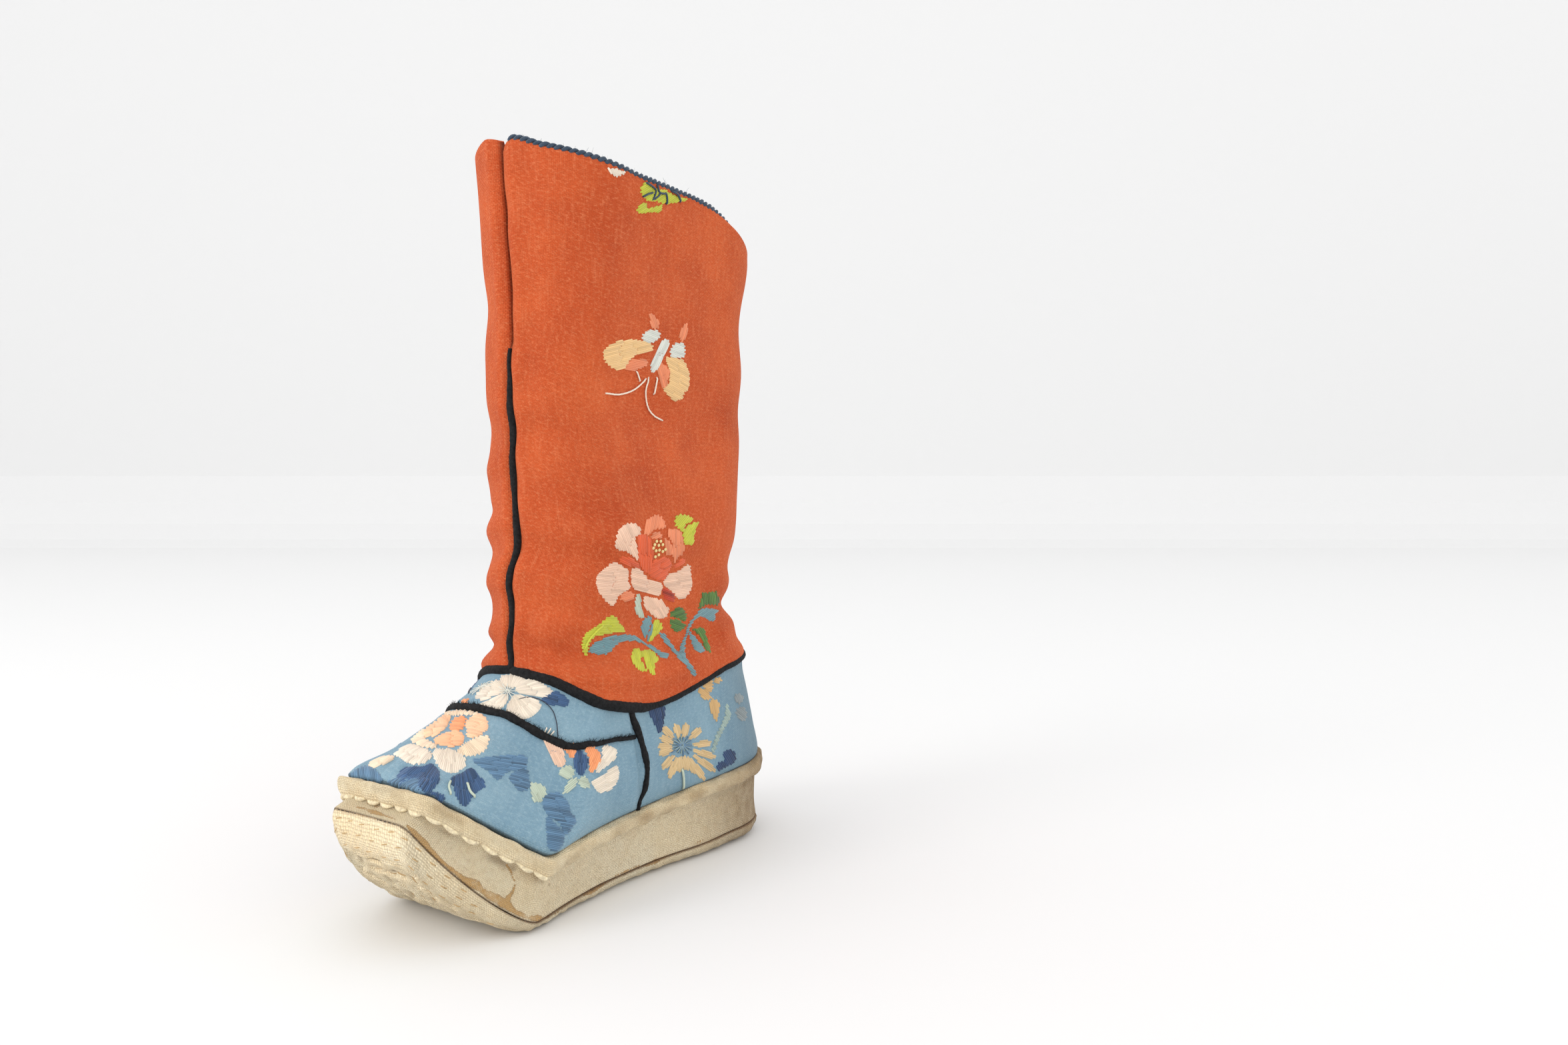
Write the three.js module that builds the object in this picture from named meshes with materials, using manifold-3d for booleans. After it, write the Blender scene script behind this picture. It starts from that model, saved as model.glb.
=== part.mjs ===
import * as THREE from 'three';
import { mergeVertices } from 'three/addons/utils/BufferGeometryUtils.js';
import Module from 'manifold-3d';

// A child's boot of silk on a thick canvas sole, cut straight so that it fits either foot.
// Millimetres, +Z up. The toe points to -Y, the wearer's left is +X, and the origin lies on the
// floor below the middle of the boot.

// Sole seen from above, along the line where the upper meets the welt
const soleLength = 157;
const toeWidth = 33.4;
const ballWidth = 61.2;
const waistWidth = 51.4;
const heelWidth = 55.8;
const toeOverhang = 6.1;
const ballSetback = 33.8;
const waistSetback = 76.5;
const heelRound = 29.5;
const toeCornerCut = 2.6;
const ballCornerCut = 5;

// Heights of that line above the floor, and of the outsole's upper edge
const toeLineHeight = 41.9;
const ballLineHeight = 20.6;
const heelLineHeight = 28;
const outsoleToeHeight = 34.4;
const outsoleThickness = 3;
const outsoleHeelThickness = 5.4;
const toeCurve = 1.5;
const toeSpring = 32.5;
const toeSpringFullness = 1.5;

// Sole pieces
const outsoleInset = 2.2;
const outsoleInsetAtHeel = 0.6;
const outsoleRoll = 2;
const outsoleFlatInset = 4.2;
const midsoleHollow = 1.1;
const weltThickness = 6.2;
const weltProud = 3.2;
const weltProudAtHeel = 1.7;
const weltSeat = 5.2;
const insoleThickness = 4.6;
const insoleBevel = 1;

// Upper and shaft
const wall = 2.2;
const ankleFrontHeight = 67;
const ankleSideHeight = 54.3;
const vampBulge = 5.5;
const instepHollow = 4.6;
const bootHeight = 221;
const collarRearHeight = 197;
const notchDepth = 3;
const shaftWidth = 46;
const shaftFrontSetback = 49.8;
const shaftDepth = 99;
const frontSeamDepth = 1.5;

// Shapes as shares: where the round front and rear of the shaft's section end along the half seam,
// how deep they are against half its width, how far the front seam and its sway reach along the
// half seam, how fast the upper's bulge dies out towards the ankle (above 1 it leaves a hollow
// there), and where the upper's wall turns level towards the welt and the ankle
const roundShare = 0.28;
const frontRoundness = 0.95;
const rearRoundness = 1.05;
const frontSeamSpread = 0.02;
const swaySpread = 0.12;
const bulgeFallOff = 1.7;
const weltLevelShare = 0.2;
const ankleLevelShare = 0.85;

// Cords and gaps
const pipingDiameter = 2.2;
const bindingDiameter = 1.4;
const pipingRise = 0.35;
const clearance = 0.3;
const plainSeamLength = 58;

const front = -soleLength / 2;
const rear = soleLength / 2;
const shaftFront = front + shaftFrontSetback;
const shaftRear = shaftFront + shaftDepth;
const frontPipingTop = bootHeight - plainSeamLength;
const pipingRadius = pipingDiameter / 2;
const grooveRadius = pipingRadius + clearance;
const bindingRadius = bindingDiameter / 2;

const colour = {
  canvas: '#d9c9a9',
  edgedCanvas: '#cdbb97',
  blueSilk: '#7ba3c0',
  orangeSilk: '#cc5f39',
  blackPiping: '#17181c',
  navyBinding: '#3a4a5c',
};

// The half ring runs from the toe's middle round the wearer's left to the heel's middle. Each row
// is a stretch of it: how many steps it takes, and, where it ends, its place on the ankle line as a
// share of half that line, the upper's bulge as a share of the vamp's bulge, and how low on the
// upper that bulge sits (lower for a smaller number); hollow is a share of the instep's hollow.
const stretches = [
  { name: 'toe edge', steps: 3, ankleEnd: 0.065, bulge: 0.4, low: 0.25, hollow: 1 },
  { name: 'toe corner', steps: 2, ankleEnd: 0.105, bulge: 0.44, low: 0.28, hollow: 0.95 },
  { name: 'toe slant', steps: 3, ankleEnd: 0.17, bulge: 0.6, low: 0.45, hollow: 0.55 },
  { name: 'ball corner', steps: 3, ankleEnd: 0.21, bulge: 0.9, low: 0.6, hollow: 0 },
  { name: 'vamp side', steps: 3, ankleEnd: 0.275, bulge: 0.45, low: 0.8, hollow: 0 },
  { name: 'quarter', steps: 4, ankleEnd: 0.74, bulge: 0.22, low: 0.8, hollow: 0 },
  { name: 'heel', steps: 6, ankleEnd: 1, bulge: 0.22, low: 0.8, hollow: 0 },
];
const toeMiddle = { ankleEnd: 0, bulge: 0.4, low: 0.25, hollow: 1 };
const halfSteps = stretches.reduce((sum, row) => sum + row.steps, 0);
const ringSteps = halfSteps * 2;

// Sections of the shaft, from below the ankle to above the collar. rise is a share of the height
// from the ankle's front to the collar; half is a share of half the shaft's width; front and rear
// push the section's ends outwards, as shares of its depth; sway moves the front seam to the
// wearer's left, as a share of the shaft's width.
const shaftSections = [
  { rise: -0.12, half: 1.18, front: 0.02, rear: 0.01, sway: 0 },
  { rise: -0.045, half: 1.15, front: 0.016, rear: -0.012, sway: 0 },
  { rise: 0, half: 1.08, front: 0.006, rear: -0.02, sway: 0.01 },
  { rise: 0.045, half: 0.92, front: 0.004, rear: -0.06, sway: -0.02 },
  { rise: 0.096, half: 0.88, front: 0, rear: -0.068, sway: 0 },
  { rise: 0.16, half: 0.96, front: 0, rear: -0.066, sway: -0.03 },
  { rise: 0.256, half: 1.15, front: -0.01, rear: -0.06, sway: 0.035 },
  { rise: 0.327, half: 1.08, front: -0.008, rear: -0.04, sway: 0.01 },
  { rise: 0.404, half: 0.96, front: -0.004, rear: -0.012, sway: 0 },
  { rise: 0.468, half: 0.91, front: -0.002, rear: 0.004, sway: 0.012 },
  { rise: 0.545, half: 0.93, front: 0.004, rear: 0.006, sway: -0.01 },
  { rise: 0.66, half: 1.02, front: 0, rear: 0, sway: 0 },
  { rise: 0.756, half: 1.05, front: 0, rear: 0, sway: 0 },
  { rise: 0.84, half: 1.08, front: 0.008, rear: 0.022, sway: 0 },
  { rise: 0.93, half: 1.14, front: 0.014, rear: 0.03, sway: 0 },
  { rise: 1.02, half: 1.2, front: 0.02, rear: 0.03, sway: 0 },
];

// The ankle seam falls from the front to the side and rises again to the heel. along is a share of
// half the seam; fall is a share of the difference between its front and side heights.
const ankleSeam = [
  { along: 0, fall: 0 },
  { along: 0.06, fall: 0.06 },
  { along: 0.114, fall: 0.22 },
  { along: 0.156, fall: 0.46 },
  { along: 0.2, fall: 0.72 },
  { along: 0.25, fall: 0.87 },
  { along: 0.33, fall: 1 },
  { along: 0.44, fall: 0.96 },
  { along: 0.6, fall: 0.71 },
  { along: 0.72, fall: 0.48 },
  { along: 0.85, fall: 0.34 },
  { along: 1, fall: 0.34 },
];

// The collar's edge falls from the front peaks to the rear; fall is a share of that difference.
const collarEdge = [
  { along: 0, fall: 0.02 },
  { along: 0.04, fall: 0 },
  { along: 0.1, fall: 0.12 },
  { along: 0.28, fall: 0.31 },
  { along: 0.45, fall: 0.36 },
  { along: 0.6, fall: 0.42 },
  { along: 0.7, fall: 0.54 },
  { along: 0.8, fall: 0.76 },
  { along: 0.9, fall: 0.95 },
  { along: 1, fall: 1 },
];

// The vamp seam crosses the instep. along is a share of the half ring's steps up to the side seam,
// and up is a share of the way from the welt to the ankle.
const vampSeam = [
  { along: 0, up: 0.69 },
  { along: 0.27, up: 0.68 },
  { along: 0.5, up: 0.655 },
  { along: 0.64, up: 0.665 },
  { along: 0.8, up: 0.715 },
  { along: 1, up: 0.71 },
];
const sideSeamRow = stretches.findIndex((row) => row.name === 'vamp side');
const sideSeamStep = stretches.slice(0, sideSeamRow + 1).reduce((sum, row) => sum + row.steps, 0);

// A column of a table at a position between its rows, on a smooth curve through them.
function alongTable(table, key, column, position) {
  const last = table.length - 1;
  const at = THREE.MathUtils.clamp(position, table[0][key], table[last][key]);
  let row = 0;
  while (row < last - 1 && table[row + 1][key] < at) row += 1;
  const slope = (index) => {
    const before = table[Math.max(index - 1, 0)];
    const after = table[Math.min(index + 1, last)];
    return (after[column] - before[column]) / (after[key] - before[key]);
  };
  const span = table[row + 1][key] - table[row][key];
  const t = (at - table[row][key]) / span;
  const [t2, t3] = [t * t, t * t * t];
  return (2 * t3 - 3 * t2 + 1) * table[row][column]
    + (t3 - 2 * t2 + t) * span * slope(row)
    + (3 * t2 - 2 * t3) * table[row + 1][column]
    + (t3 - t2) * span * slope(row + 1);
}

// Two lines that meet in a soft corner, the higher one winning.
function softMax(a, b, softness) {
  return (a + b) / 2 + Math.hypot((a - b) / 2, softness);
}

function lineThrough(y, yA, zA, yB, zB) {
  return zA + ((zB - zA) * (y - yA)) / (yB - yA);
}

const toeLineY = front + toeOverhang;
const ballY = front + ballSetback;
const waistY = front + waistSetback;
const rearLineY = rear - weltProudAtHeel;

// Height of the welt's top, where the upper stands: steep at the toe and nearly level behind.
function weltTop(y) {
  const toeLine = lineThrough(y, toeLineY, toeLineHeight, ballY, ballLineHeight);
  const backLine = lineThrough(y, ballY, ballLineHeight, rearLineY, heelLineHeight);
  return softMax(toeLine, backLine, 0.7);
}

// Height of the outsole's upper edge: a slow rise to the heel, and a curve that steepens to the toe.
function outsoleTop(y) {
  const toeReach = Math.max((ballY - y) / (ballY - front), 0);
  const heelReach = Math.max((y - ballY) / (rearLineY - ballY), 0);
  return outsoleThickness + (outsoleToeHeight - outsoleThickness) * toeReach ** toeCurve
    + (outsoleHeelThickness - outsoleThickness) * heelReach;
}

// Height of the outsole's underside: flat on the floor, then a rounded sweep up to the toe.
function outsoleBottom(y) {
  const reach = THREE.MathUtils.clamp((front + toeSpring - y) / toeSpring, 0, 1);
  return toeSpring * (1 - (1 - reach ** toeSpringFullness) ** (1 / toeSpringFullness));
}

// The stretch of the half ring that a step lies on, and how far along it.
function stretchAt(step) {
  let start = 0;
  for (const [index, row] of stretches.entries()) {
    if (step <= start + row.steps || index === stretches.length - 1) {
      return { index, t: (step - start) / row.steps };
    }
    start += row.steps;
  }
  return null;
}

// A value that a column of the stretches gives at their ends, eased between them.
function alongStretches(step, column) {
  const { index, t } = stretchAt(step);
  const from = index === 0 ? toeMiddle[column] : stretches[index - 1][column];
  return from + (stretches[index][column] - from) * t;
}

// The stretches of half an outline. grow moves it outwards at the toe and sides, heelGrow at the
// heel's sides and rearGrow at its back, and lean pushes its toe forwards.
function outlineCurves({ grow = 0, heelGrow = grow, rearGrow = heelGrow, lean = 0 }) {
  const slant = new THREE.Vector2(ballWidth - toeWidth, 2 * (ballY - toeLineY)).normalize();
  const slantAngle = Math.acos(slant.x);
  const toe = new THREE.Vector2(toeWidth / 2 + grow * Math.tan(slantAngle / 2), toeLineY - grow - lean);
  const ballMitre = Math.tan((Math.PI / 2 - slantAngle) / 2);
  const ball = new THREE.Vector2(ballWidth / 2 + grow, ballY - grow * ballMitre - lean / 2);
  const along = ball.clone().sub(toe).normalize();
  const toeIn = new THREE.Vector2(toe.x - toeCornerCut, toe.y);
  const toeOut = toe.clone().addScaledVector(along, toeCornerCut);
  const ballIn = ball.clone().addScaledVector(along, -ballCornerCut);
  const waist = new THREE.Vector2(waistWidth / 2 + grow, waistY);
  const waistPull = new THREE.Vector2(waist.x, (ball.y + waistY) / 2);
  const ballOut = ball.clone().lerp(waistPull, ballCornerCut / ball.distanceTo(waistPull));
  const heelHalf = heelWidth / 2 + heelGrow;
  const heelSide = new THREE.Vector2(heelHalf, rearLineY - heelRound);
  const middleY = (waistY + heelSide.y) / 2;
  return [
    new THREE.LineCurve(new THREE.Vector2(0, toe.y), toeIn),
    new THREE.QuadraticBezierCurve(toeIn, toe, toeOut),
    new THREE.LineCurve(toeOut, ballIn),
    new THREE.QuadraticBezierCurve(ballIn, ball, ballOut),
    new THREE.QuadraticBezierCurve(ballOut, waistPull, waist),
    new THREE.CubicBezierCurve(
      waist,
      new THREE.Vector2(waist.x, middleY),
      new THREE.Vector2(heelHalf, middleY),
      heelSide,
    ),
    new THREE.EllipseCurve(0, heelSide.y, heelHalf, heelRound + rearGrow, 0, Math.PI / 2),
  ];
}

function outlinePoint(curves, step) {
  const { index, t } = stretchAt(step);
  return curves[index].getPoint(t);
}

// A whole ring from the points of its left half, mirrored.
function wholeRing(pointAt) {
  return Array.from({ length: ringSteps }, (_, k) => {
    const left = k <= halfSteps;
    const p = pointAt(left ? k : ringSteps - k);
    return new THREE.Vector3(left ? p.x : -p.x, p.y, p.z);
  });
}

function soleRing(offsets, heightAt) {
  const curves = outlineCurves(offsets);
  return wholeRing((step) => {
    const p = outlinePoint(curves, step);
    return new THREE.Vector3(p.x, p.y, heightAt(p.y, step));
  });
}

// A closed body through rings that follow each other. closed joins the last ring to the first, as
// on a shell; otherwise strips from side to side close both ends.
function loft(rings, closed) {
  const count = rings[0].length;
  const positions = rings.flat().flatMap((p) => [p.x, p.y, p.z]);
  const faces = [];
  const quad = (a, b, c, d) => faces.push(a, b, c, a, c, d);
  const bands = closed ? rings.length : rings.length - 1;
  for (let band = 0; band < bands; band += 1) {
    const low = band * count;
    const high = ((band + 1) % rings.length) * count;
    for (let k = 0; k < count; k += 1) {
      const next = (k + 1) % count;
      quad(low + k, low + next, high + next, high + k);
    }
  }
  if (!closed) {
    const top = (rings.length - 1) * count;
    const mirror = (k) => (count - k) % count;
    for (let k = 0; k < count / 2; k += 1) {
      const lid = [k, k + 1, mirror(k + 1), mirror(k)].filter((p, i, all) => all.indexOf(p) === i);
      for (let corner = 1; corner < lid.length - 1; corner += 1) {
        faces.push(top + lid[0], top + lid[corner], top + lid[corner + 1]);
        faces.push(lid[0], lid[corner + 1], lid[corner]);
      }
    }
  }
  const geometry = new THREE.BufferGeometry();
  geometry.setAttribute('position', new THREE.Float32BufferAttribute(positions, 3));
  geometry.setIndex(faces);
  return geometry;
}

const wasm = await Module();
wasm.setup();

function solidOf(geometry) {
  const bare = geometry.clone();
  bare.deleteAttribute('normal');
  bare.deleteAttribute('uv');
  const merged = mergeVertices(bare, 1e-4);
  return new wasm.Manifold(new wasm.Mesh({
    numProp: 3,
    vertProperties: new Float32Array(merged.attributes.position.array),
    triVerts: new Uint32Array(merged.index.array),
  }));
}

function cutAway(geometry, tools) {
  const cut = tools.reduce((body, tool) => body.subtract(solidOf(tool)), solidOf(geometry));
  const mesh = cut.getMesh();
  const result = new THREE.BufferGeometry();
  result.setAttribute('position', new THREE.BufferAttribute(mesh.vertProperties, 3));
  result.setIndex(new THREE.BufferAttribute(mesh.triVerts, 1));
  return result;
}

// Half a section of the shaft at a height: two rounded ends joined by nearly flat sides. inset
// draws it inwards for the inner face, and along is a share of the way from front to rear.
function sectionPoint(z, along, inset) {
  const rise = (z - ankleFrontHeight) / (bootHeight - ankleFrontHeight);
  const value = (column) => alongTable(shaftSections, 'rise', column, rise);
  const half = (shaftWidth / 2) * value('half') - inset;
  const frontY = shaftFront - value('front') * shaftDepth + inset;
  const rearY = shaftRear + value('rear') * shaftDepth - inset;
  const frontCentre = frontY + half * frontRoundness;
  const rearCentre = rearY - half * rearRoundness;
  const seam = frontSeamDepth * Math.exp(-((along / frontSeamSpread) ** 2));
  const sway = value('sway') * shaftWidth * Math.exp(-((along / swaySpread) ** 2));
  if (along < roundShare) {
    const angle = (along / roundShare) * (Math.PI / 2);
    const y = frontCentre - (frontCentre - frontY) * Math.cos(angle) + seam;
    return { x: half * Math.sin(angle), y, sway };
  }
  if (along > 1 - roundShare) {
    const angle = ((1 - along) / roundShare) * (Math.PI / 2);
    const y = rearCentre + (rearY - rearCentre) * Math.cos(angle);
    return { x: half * Math.sin(angle), y, sway: 0 };
  }
  const t = (along - roundShare) / (1 - 2 * roundShare);
  return { x: half, y: THREE.MathUtils.lerp(frontCentre, rearCentre, t), sway };
}

function ankleHeight(along) {
  const fall = alongTable(ankleSeam, 'along', 'fall', along);
  return THREE.MathUtils.lerp(ankleFrontHeight, ankleSideHeight, fall);
}

function collarHeight(along) {
  const fall = alongTable(collarEdge, 'along', 'fall', along);
  const notch = notchDepth * Math.exp(-((along / frontSeamSpread) ** 2));
  return THREE.MathUtils.lerp(bootHeight, collarRearHeight, fall) - notch;
}

// A point of the shaft's face. The front seam sways to one side for both halves alike.
function shaftPoint(step, rise, inset, lift) {
  const left = step <= halfSteps;
  const halfStep = left ? step : ringSteps - step;
  const along = alongStretches(halfStep, 'ankleEnd');
  const z = THREE.MathUtils.lerp(ankleHeight(along) + lift, collarHeight(along), rise);
  const p = sectionPoint(z, along, inset);
  return new THREE.Vector3((left ? p.x : -p.x) + p.sway, p.y, z);
}

// A point of the upper's outer face: from the welt to the ankle seam on a bulging line that stands
// out square to the straight line between the two.
function upperPoint(step, up) {
  const left = step <= halfSteps;
  const halfStep = left ? step : ringSteps - step;
  const curves = outlineCurves({});
  const foot = outlinePoint(curves, halfStep);
  const beside = 0.2;
  const before = outlinePoint(curves, Math.max(halfStep - beside, 0));
  const after = outlinePoint(curves, Math.min(halfStep + beside, halfSteps));
  const outward = new THREE.Vector3(after.y - before.y, before.x - after.x, 0).normalize();
  const side = left ? 1 : -1;
  outward.x *= side;
  const start = new THREE.Vector3(side * foot.x, foot.y, weltTop(foot.y) + clearance);
  const end = shaftPoint(step, 0, 0, 0);
  const chord = end.clone().sub(start).normalize();
  const stand = outward.addScaledVector(chord, -outward.dot(chord)).normalize();
  const low = alongStretches(halfStep, 'low');
  const crest = low / (low + bulgeFallOff);
  const crown = (up / crest) ** low * ((1 - up) / (1 - crest)) ** bulgeFallOff;
  const dip = instepHollow * alongStretches(halfStep, 'hollow') * Math.sin(Math.PI * up) ** 2;
  const bulge = vampBulge * alongStretches(halfStep, 'bulge') * crown - dip;
  return start.lerp(end, up).addScaledVector(stand, bulge);
}

// The upper's face at a depth below the outer one. At its two edges the depth is level, so that it
// stands flat on the welt and meets the shaft squarely.
function upperFace(step, up, depth) {
  const [beside, above] = [0.5, 0.02];
  const next = upperPoint((step + beside) % ringSteps, up);
  const across = next.sub(upperPoint((step + ringSteps - beside) % ringSteps, up));
  const higher = upperPoint(step, Math.min(up + above, 1));
  const climb = higher.sub(upperPoint(step, Math.max(up - above, 0)));
  const normal = across.clone().cross(climb).normalize();
  const level = new THREE.Vector3(across.y, -across.x, 0).normalize();
  const aboveWelt = THREE.MathUtils.smoothstep(up, 0, weltLevelShare);
  const belowAnkle = 1 - THREE.MathUtils.smoothstep(up, ankleLevelShare, 1);
  const direction = level.lerp(normal, aboveWelt * belowAnkle).normalize();
  const point = upperPoint(step, up).addScaledVector(direction, -depth);
  if (up === 0) point.z = weltTop(point.y) + clearance;
  return point;
}

function ringOf(pointAt) {
  return Array.from({ length: ringSteps }, (_, step) => pointAt(step));
}

function shell(outerRises, innerRises, outerAt, innerAt) {
  const outer = outerRises.map((rise) => ringOf((step) => outerAt(step, rise)));
  const inner = innerRises.map((rise) => ringOf((step) => innerAt(step, rise)));
  return loft([...outer, ...inner], true);
}

// Cords. A closed cord is a tube joined to itself, and an open one is a section carried along its
// path, from which both ends may be trimmed to clear what they meet.
const cordSides = 8;
const cordStep = 4.8;

function closedCord(points, radius) {
  const curve = new THREE.CatmullRomCurve3(points, true);
  return new THREE.TubeGeometry(curve, points.length, radius, cordSides, true);
}

// The point at a length along a curve, on the straight line beyond an end where it passes one.
function pointAlong(curve, length, whole) {
  const share = length / whole;
  const inside = THREE.MathUtils.clamp(share, 0, 1);
  return curve.getPointAt(inside).addScaledVector(curve.getTangentAt(inside), (share - inside) * whole);
}

function openCord(points, radius, trimStart, trimEnd) {
  const curve = new THREE.CatmullRomCurve3(points);
  const whole = curve.getLength();
  const steps = Math.ceil(whole / cordStep);
  const kept = Array.from({ length: steps + 1 }, (_, i) => {
    const length = THREE.MathUtils.lerp(trimStart, whole - trimEnd, i / steps);
    return pointAlong(curve, length, whole);
  });
  const section = new THREE.Shape();
  section.absarc(0, 0, radius, 0, Math.PI * 2);
  return new THREE.ExtrudeGeometry(section, {
    steps,
    curveSegments: cordSides / 2,
    extrudePath: new THREE.CatmullRomCurve3(kept),
  });
}

function ankleCordPath() {
  return ringOf((step) => upperFace(step, 1, -pipingRise));
}

// The seams' own points, lifted so that a cord lies half in its groove. side is 1 for the wearer's
// left and -1 for the right.
function upperSeamPoint(halfStep, up, side) {
  const step = side > 0 ? halfStep : (ringSteps - halfStep) % ringSteps;
  return upperFace(step, up, -pipingRise);
}

function vampCordPath() {
  const samples = 12;
  const shares = Array.from({ length: samples + 1 }, (_, i) => i / samples);
  const half = (side) => shares.map((share) => {
    return upperSeamPoint(sideSeamStep * share, alongTable(vampSeam, 'along', 'up', share), side);
  });
  return [...half(-1).reverse(), ...half(1).slice(1)];
}

function sideCordPath(side) {
  const samples = 6;
  return Array.from({ length: samples + 1 }, (_, i) => upperSeamPoint(sideSeamStep, i / samples, side));
}

function frontCordPath() {
  const samples = 24;
  const low = shaftPoint(0, 0, 0, 0).z;
  const high = shaftPoint(0, 1, 0, 0).z;
  const top = (frontPipingTop - low) / (high - low);
  return Array.from({ length: samples + 1 }, (_, i) => shaftPoint(0, (top * i) / samples, -pipingRise, 0));
}

function collarCordPath() {
  const firstStep = 2;
  return Array.from({ length: ringSteps - 2 * firstStep + 1 }, (_, i) => {
    const p = shaftPoint(firstStep + i, 1, wall / 2, 0);
    return p.setZ(p.z + bindingRadius + clearance);
  });
}

// A cord that ends on another one stops beside it, and the side cords stop just above the welt.
const endTrim = pipingRadius + clearance * 2;
const weltTrim = pipingRadius / 2 + clearance;

// The grooves are cut by cords a clearance thicker. They are open at the welt and run into each
// other, and extra is how much further they reach than the cords that lie in them.
function cords(radius, extra) {
  const [trim, weltEnd] = [endTrim - extra, weltTrim - extra];
  return {
    ankle: closedCord(ankleCordPath(), radius),
    vamp: openCord(vampCordPath(), radius, trim, trim),
    left: openCord(sideCordPath(1), radius, weltEnd, trim),
    right: openCord(sideCordPath(-1), radius, weltEnd, trim),
    front: openCord(frontCordPath(), radius, trim, -extra / 3),
  };
}

const piping = cords(pipingRadius, 0);
const grooves = cords(grooveRadius, clearance * 3);

// The outsole's rolled edge from its flat underside up to the groove, and the midsole's side from
// the groove up to the welt: rise is a share of the height, out a share of the roll's width, and in
// a share of the side's hollow.
const outsoleEdge = [
  { rise: 0, out: 0 },
  { rise: 0.14, out: 0.6 },
  { rise: 0.4, out: 1 },
  { rise: 0.75, out: 0.72 },
  { rise: 1, out: 0 },
];
const midsoleSide = [
  { rise: 0, in: 0 },
  { rise: 0.3, in: 0.8 },
  { rise: 0.65, in: 0.9 },
  { rise: 1, in: 0 },
];

// The outsole's outline, drawn in by an amount. Under the toe it reaches past the welt.
function outsoleOffsets(inset) {
  return {
    grow: -outsoleInset - inset,
    heelGrow: -outsoleInsetAtHeel - inset,
    lean: toeOverhang + outsoleInset,
  };
}

function makeOutsole() {
  const edge = soleRing(outsoleOffsets(0), outsoleTop);
  const flat = soleRing(outsoleOffsets(outsoleFlatInset), outsoleBottom);
  const rings = outsoleEdge.map(({ rise, out }) => flat.map((low, k) => {
    const away = new THREE.Vector3(edge[k].x - low.x, edge[k].y - low.y, 0).normalize();
    return low.clone().lerp(edge[k], rise).addScaledVector(away, outsoleRoll * out);
  }));
  return loft(rings, false);
}

function makeMidsole() {
  const low = soleRing(outsoleOffsets(0), (y) => outsoleTop(y) + clearance);
  const high = soleRing({}, (y) => weltTop(y) - weltThickness - clearance);
  const inner = soleRing({ grow: -weltSeat - clearance }, (y) => weltTop(y) - weltThickness - clearance);
  const rings = midsoleSide.map(({ rise, in: inwards }) => low.map((bottom, k) => {
    const p = bottom.clone().lerp(high[k], rise);
    const middle = new THREE.Vector3(0, THREE.MathUtils.clamp(p.y, ballY, rearLineY - heelRound), p.z);
    return p.addScaledVector(middle.sub(p).normalize(), midsoleHollow * inwards);
  }));
  return loft([...rings, inner], false);
}

// The welt's own section, from its inner lower edge outwards and back over the top. out is a share
// of how far it stands proud, or of its seat under the upper; down is a share of its thickness.
const weltSection = [
  { out: -1, down: 1 },
  { out: 0, down: 1 },
  { out: 0.45, down: 1 },
  { out: 0.9, down: 0.78 },
  { out: 1, down: 0.45 },
  { out: 0.8, down: 0.14 },
  { out: 0.35, down: 0 },
  { out: 0, down: 0 },
  { out: -0.45, down: 0 },
  { out: -1, down: 0 },
];

function makeWelt() {
  return loft(weltSection.map(({ out, down }) => {
    const grow = out > 0 ? out * weltProud : out * weltSeat;
    const rearGrow = out > 0 ? out * weltProudAtHeel : grow;
    return soleRing({ grow, rearGrow }, (y) => weltTop(y) - down * weltThickness);
  }), true);
}

function makeInsole() {
  const grow = -weltSeat - clearance;
  const bottom = (y) => weltTop(y) - weltThickness;
  return loft([
    soleRing({ grow }, bottom),
    soleRing({ grow }, (y) => bottom(y) + insoleThickness - insoleBevel),
    soleRing({ grow: grow - insoleBevel }, (y) => bottom(y) + insoleThickness),
  ], false);
}

function makeUpper() {
  const outerRises = [0, 0.05, 0.13, 0.24, 0.38, 0.54, 0.7, 0.86, 1];
  const innerRises = [1, 0.86, 0.7, 0.5, 0.3, 0.1, 0];
  const outerAt = (step, up) => upperFace(step, up, 0);
  const innerAt = (step, up) => upperFace(step, up, wall);
  const body = shell(outerRises, innerRises, outerAt, innerAt);
  return cutAway(body, [grooves.ankle, grooves.vamp, grooves.left, grooves.right]);
}

// The inner face's bands are closer together low down, where the front seam sways most.
function makeShaft() {
  const bands = 15;
  const outerRises = Array.from({ length: bands + 1 }, (_, i) => i / bands);
  const innerRises = [15, 12, 9, 7, 5, 4, 3, 2, 0].map((band) => band / bands);
  const outerAt = (step, rise) => shaftPoint(step, rise, 0, clearance);
  const innerAt = (step, rise) => shaftPoint(step, rise, wall, clearance);
  return cutAway(shell(outerRises, innerRises, outerAt, innerAt), [grooves.ankle, grooves.front]);
}

const boot = new THREE.Group();

function addPiece(name, geometry, look) {
  const material = new THREE.MeshStandardMaterial({ color: look, roughness: 0.8, metalness: 0 });
  const mesh = new THREE.Mesh(geometry, material);
  mesh.name = name;
  boot.add(mesh);
}

addPiece('outsole', makeOutsole(), colour.canvas);
addPiece('midsole', makeMidsole(), colour.canvas);
addPiece('welt', makeWelt(), colour.edgedCanvas);
addPiece('insole', makeInsole(), colour.edgedCanvas);
addPiece('foot_upper', makeUpper(), colour.blueSilk);
addPiece('shaft', makeShaft(), colour.orangeSilk);
addPiece('ankle_piping', piping.ankle, colour.blackPiping);
addPiece('vamp_piping', piping.vamp, colour.blackPiping);
addPiece('side_piping_left', piping.left, colour.blackPiping);
addPiece('side_piping_right', piping.right, colour.blackPiping);
addPiece('front_piping', piping.front, colour.blackPiping);
addPiece('collar_binding', openCord(collarCordPath(), bindingRadius, 0, 0), colour.navyBinding);

export default boot;
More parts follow.
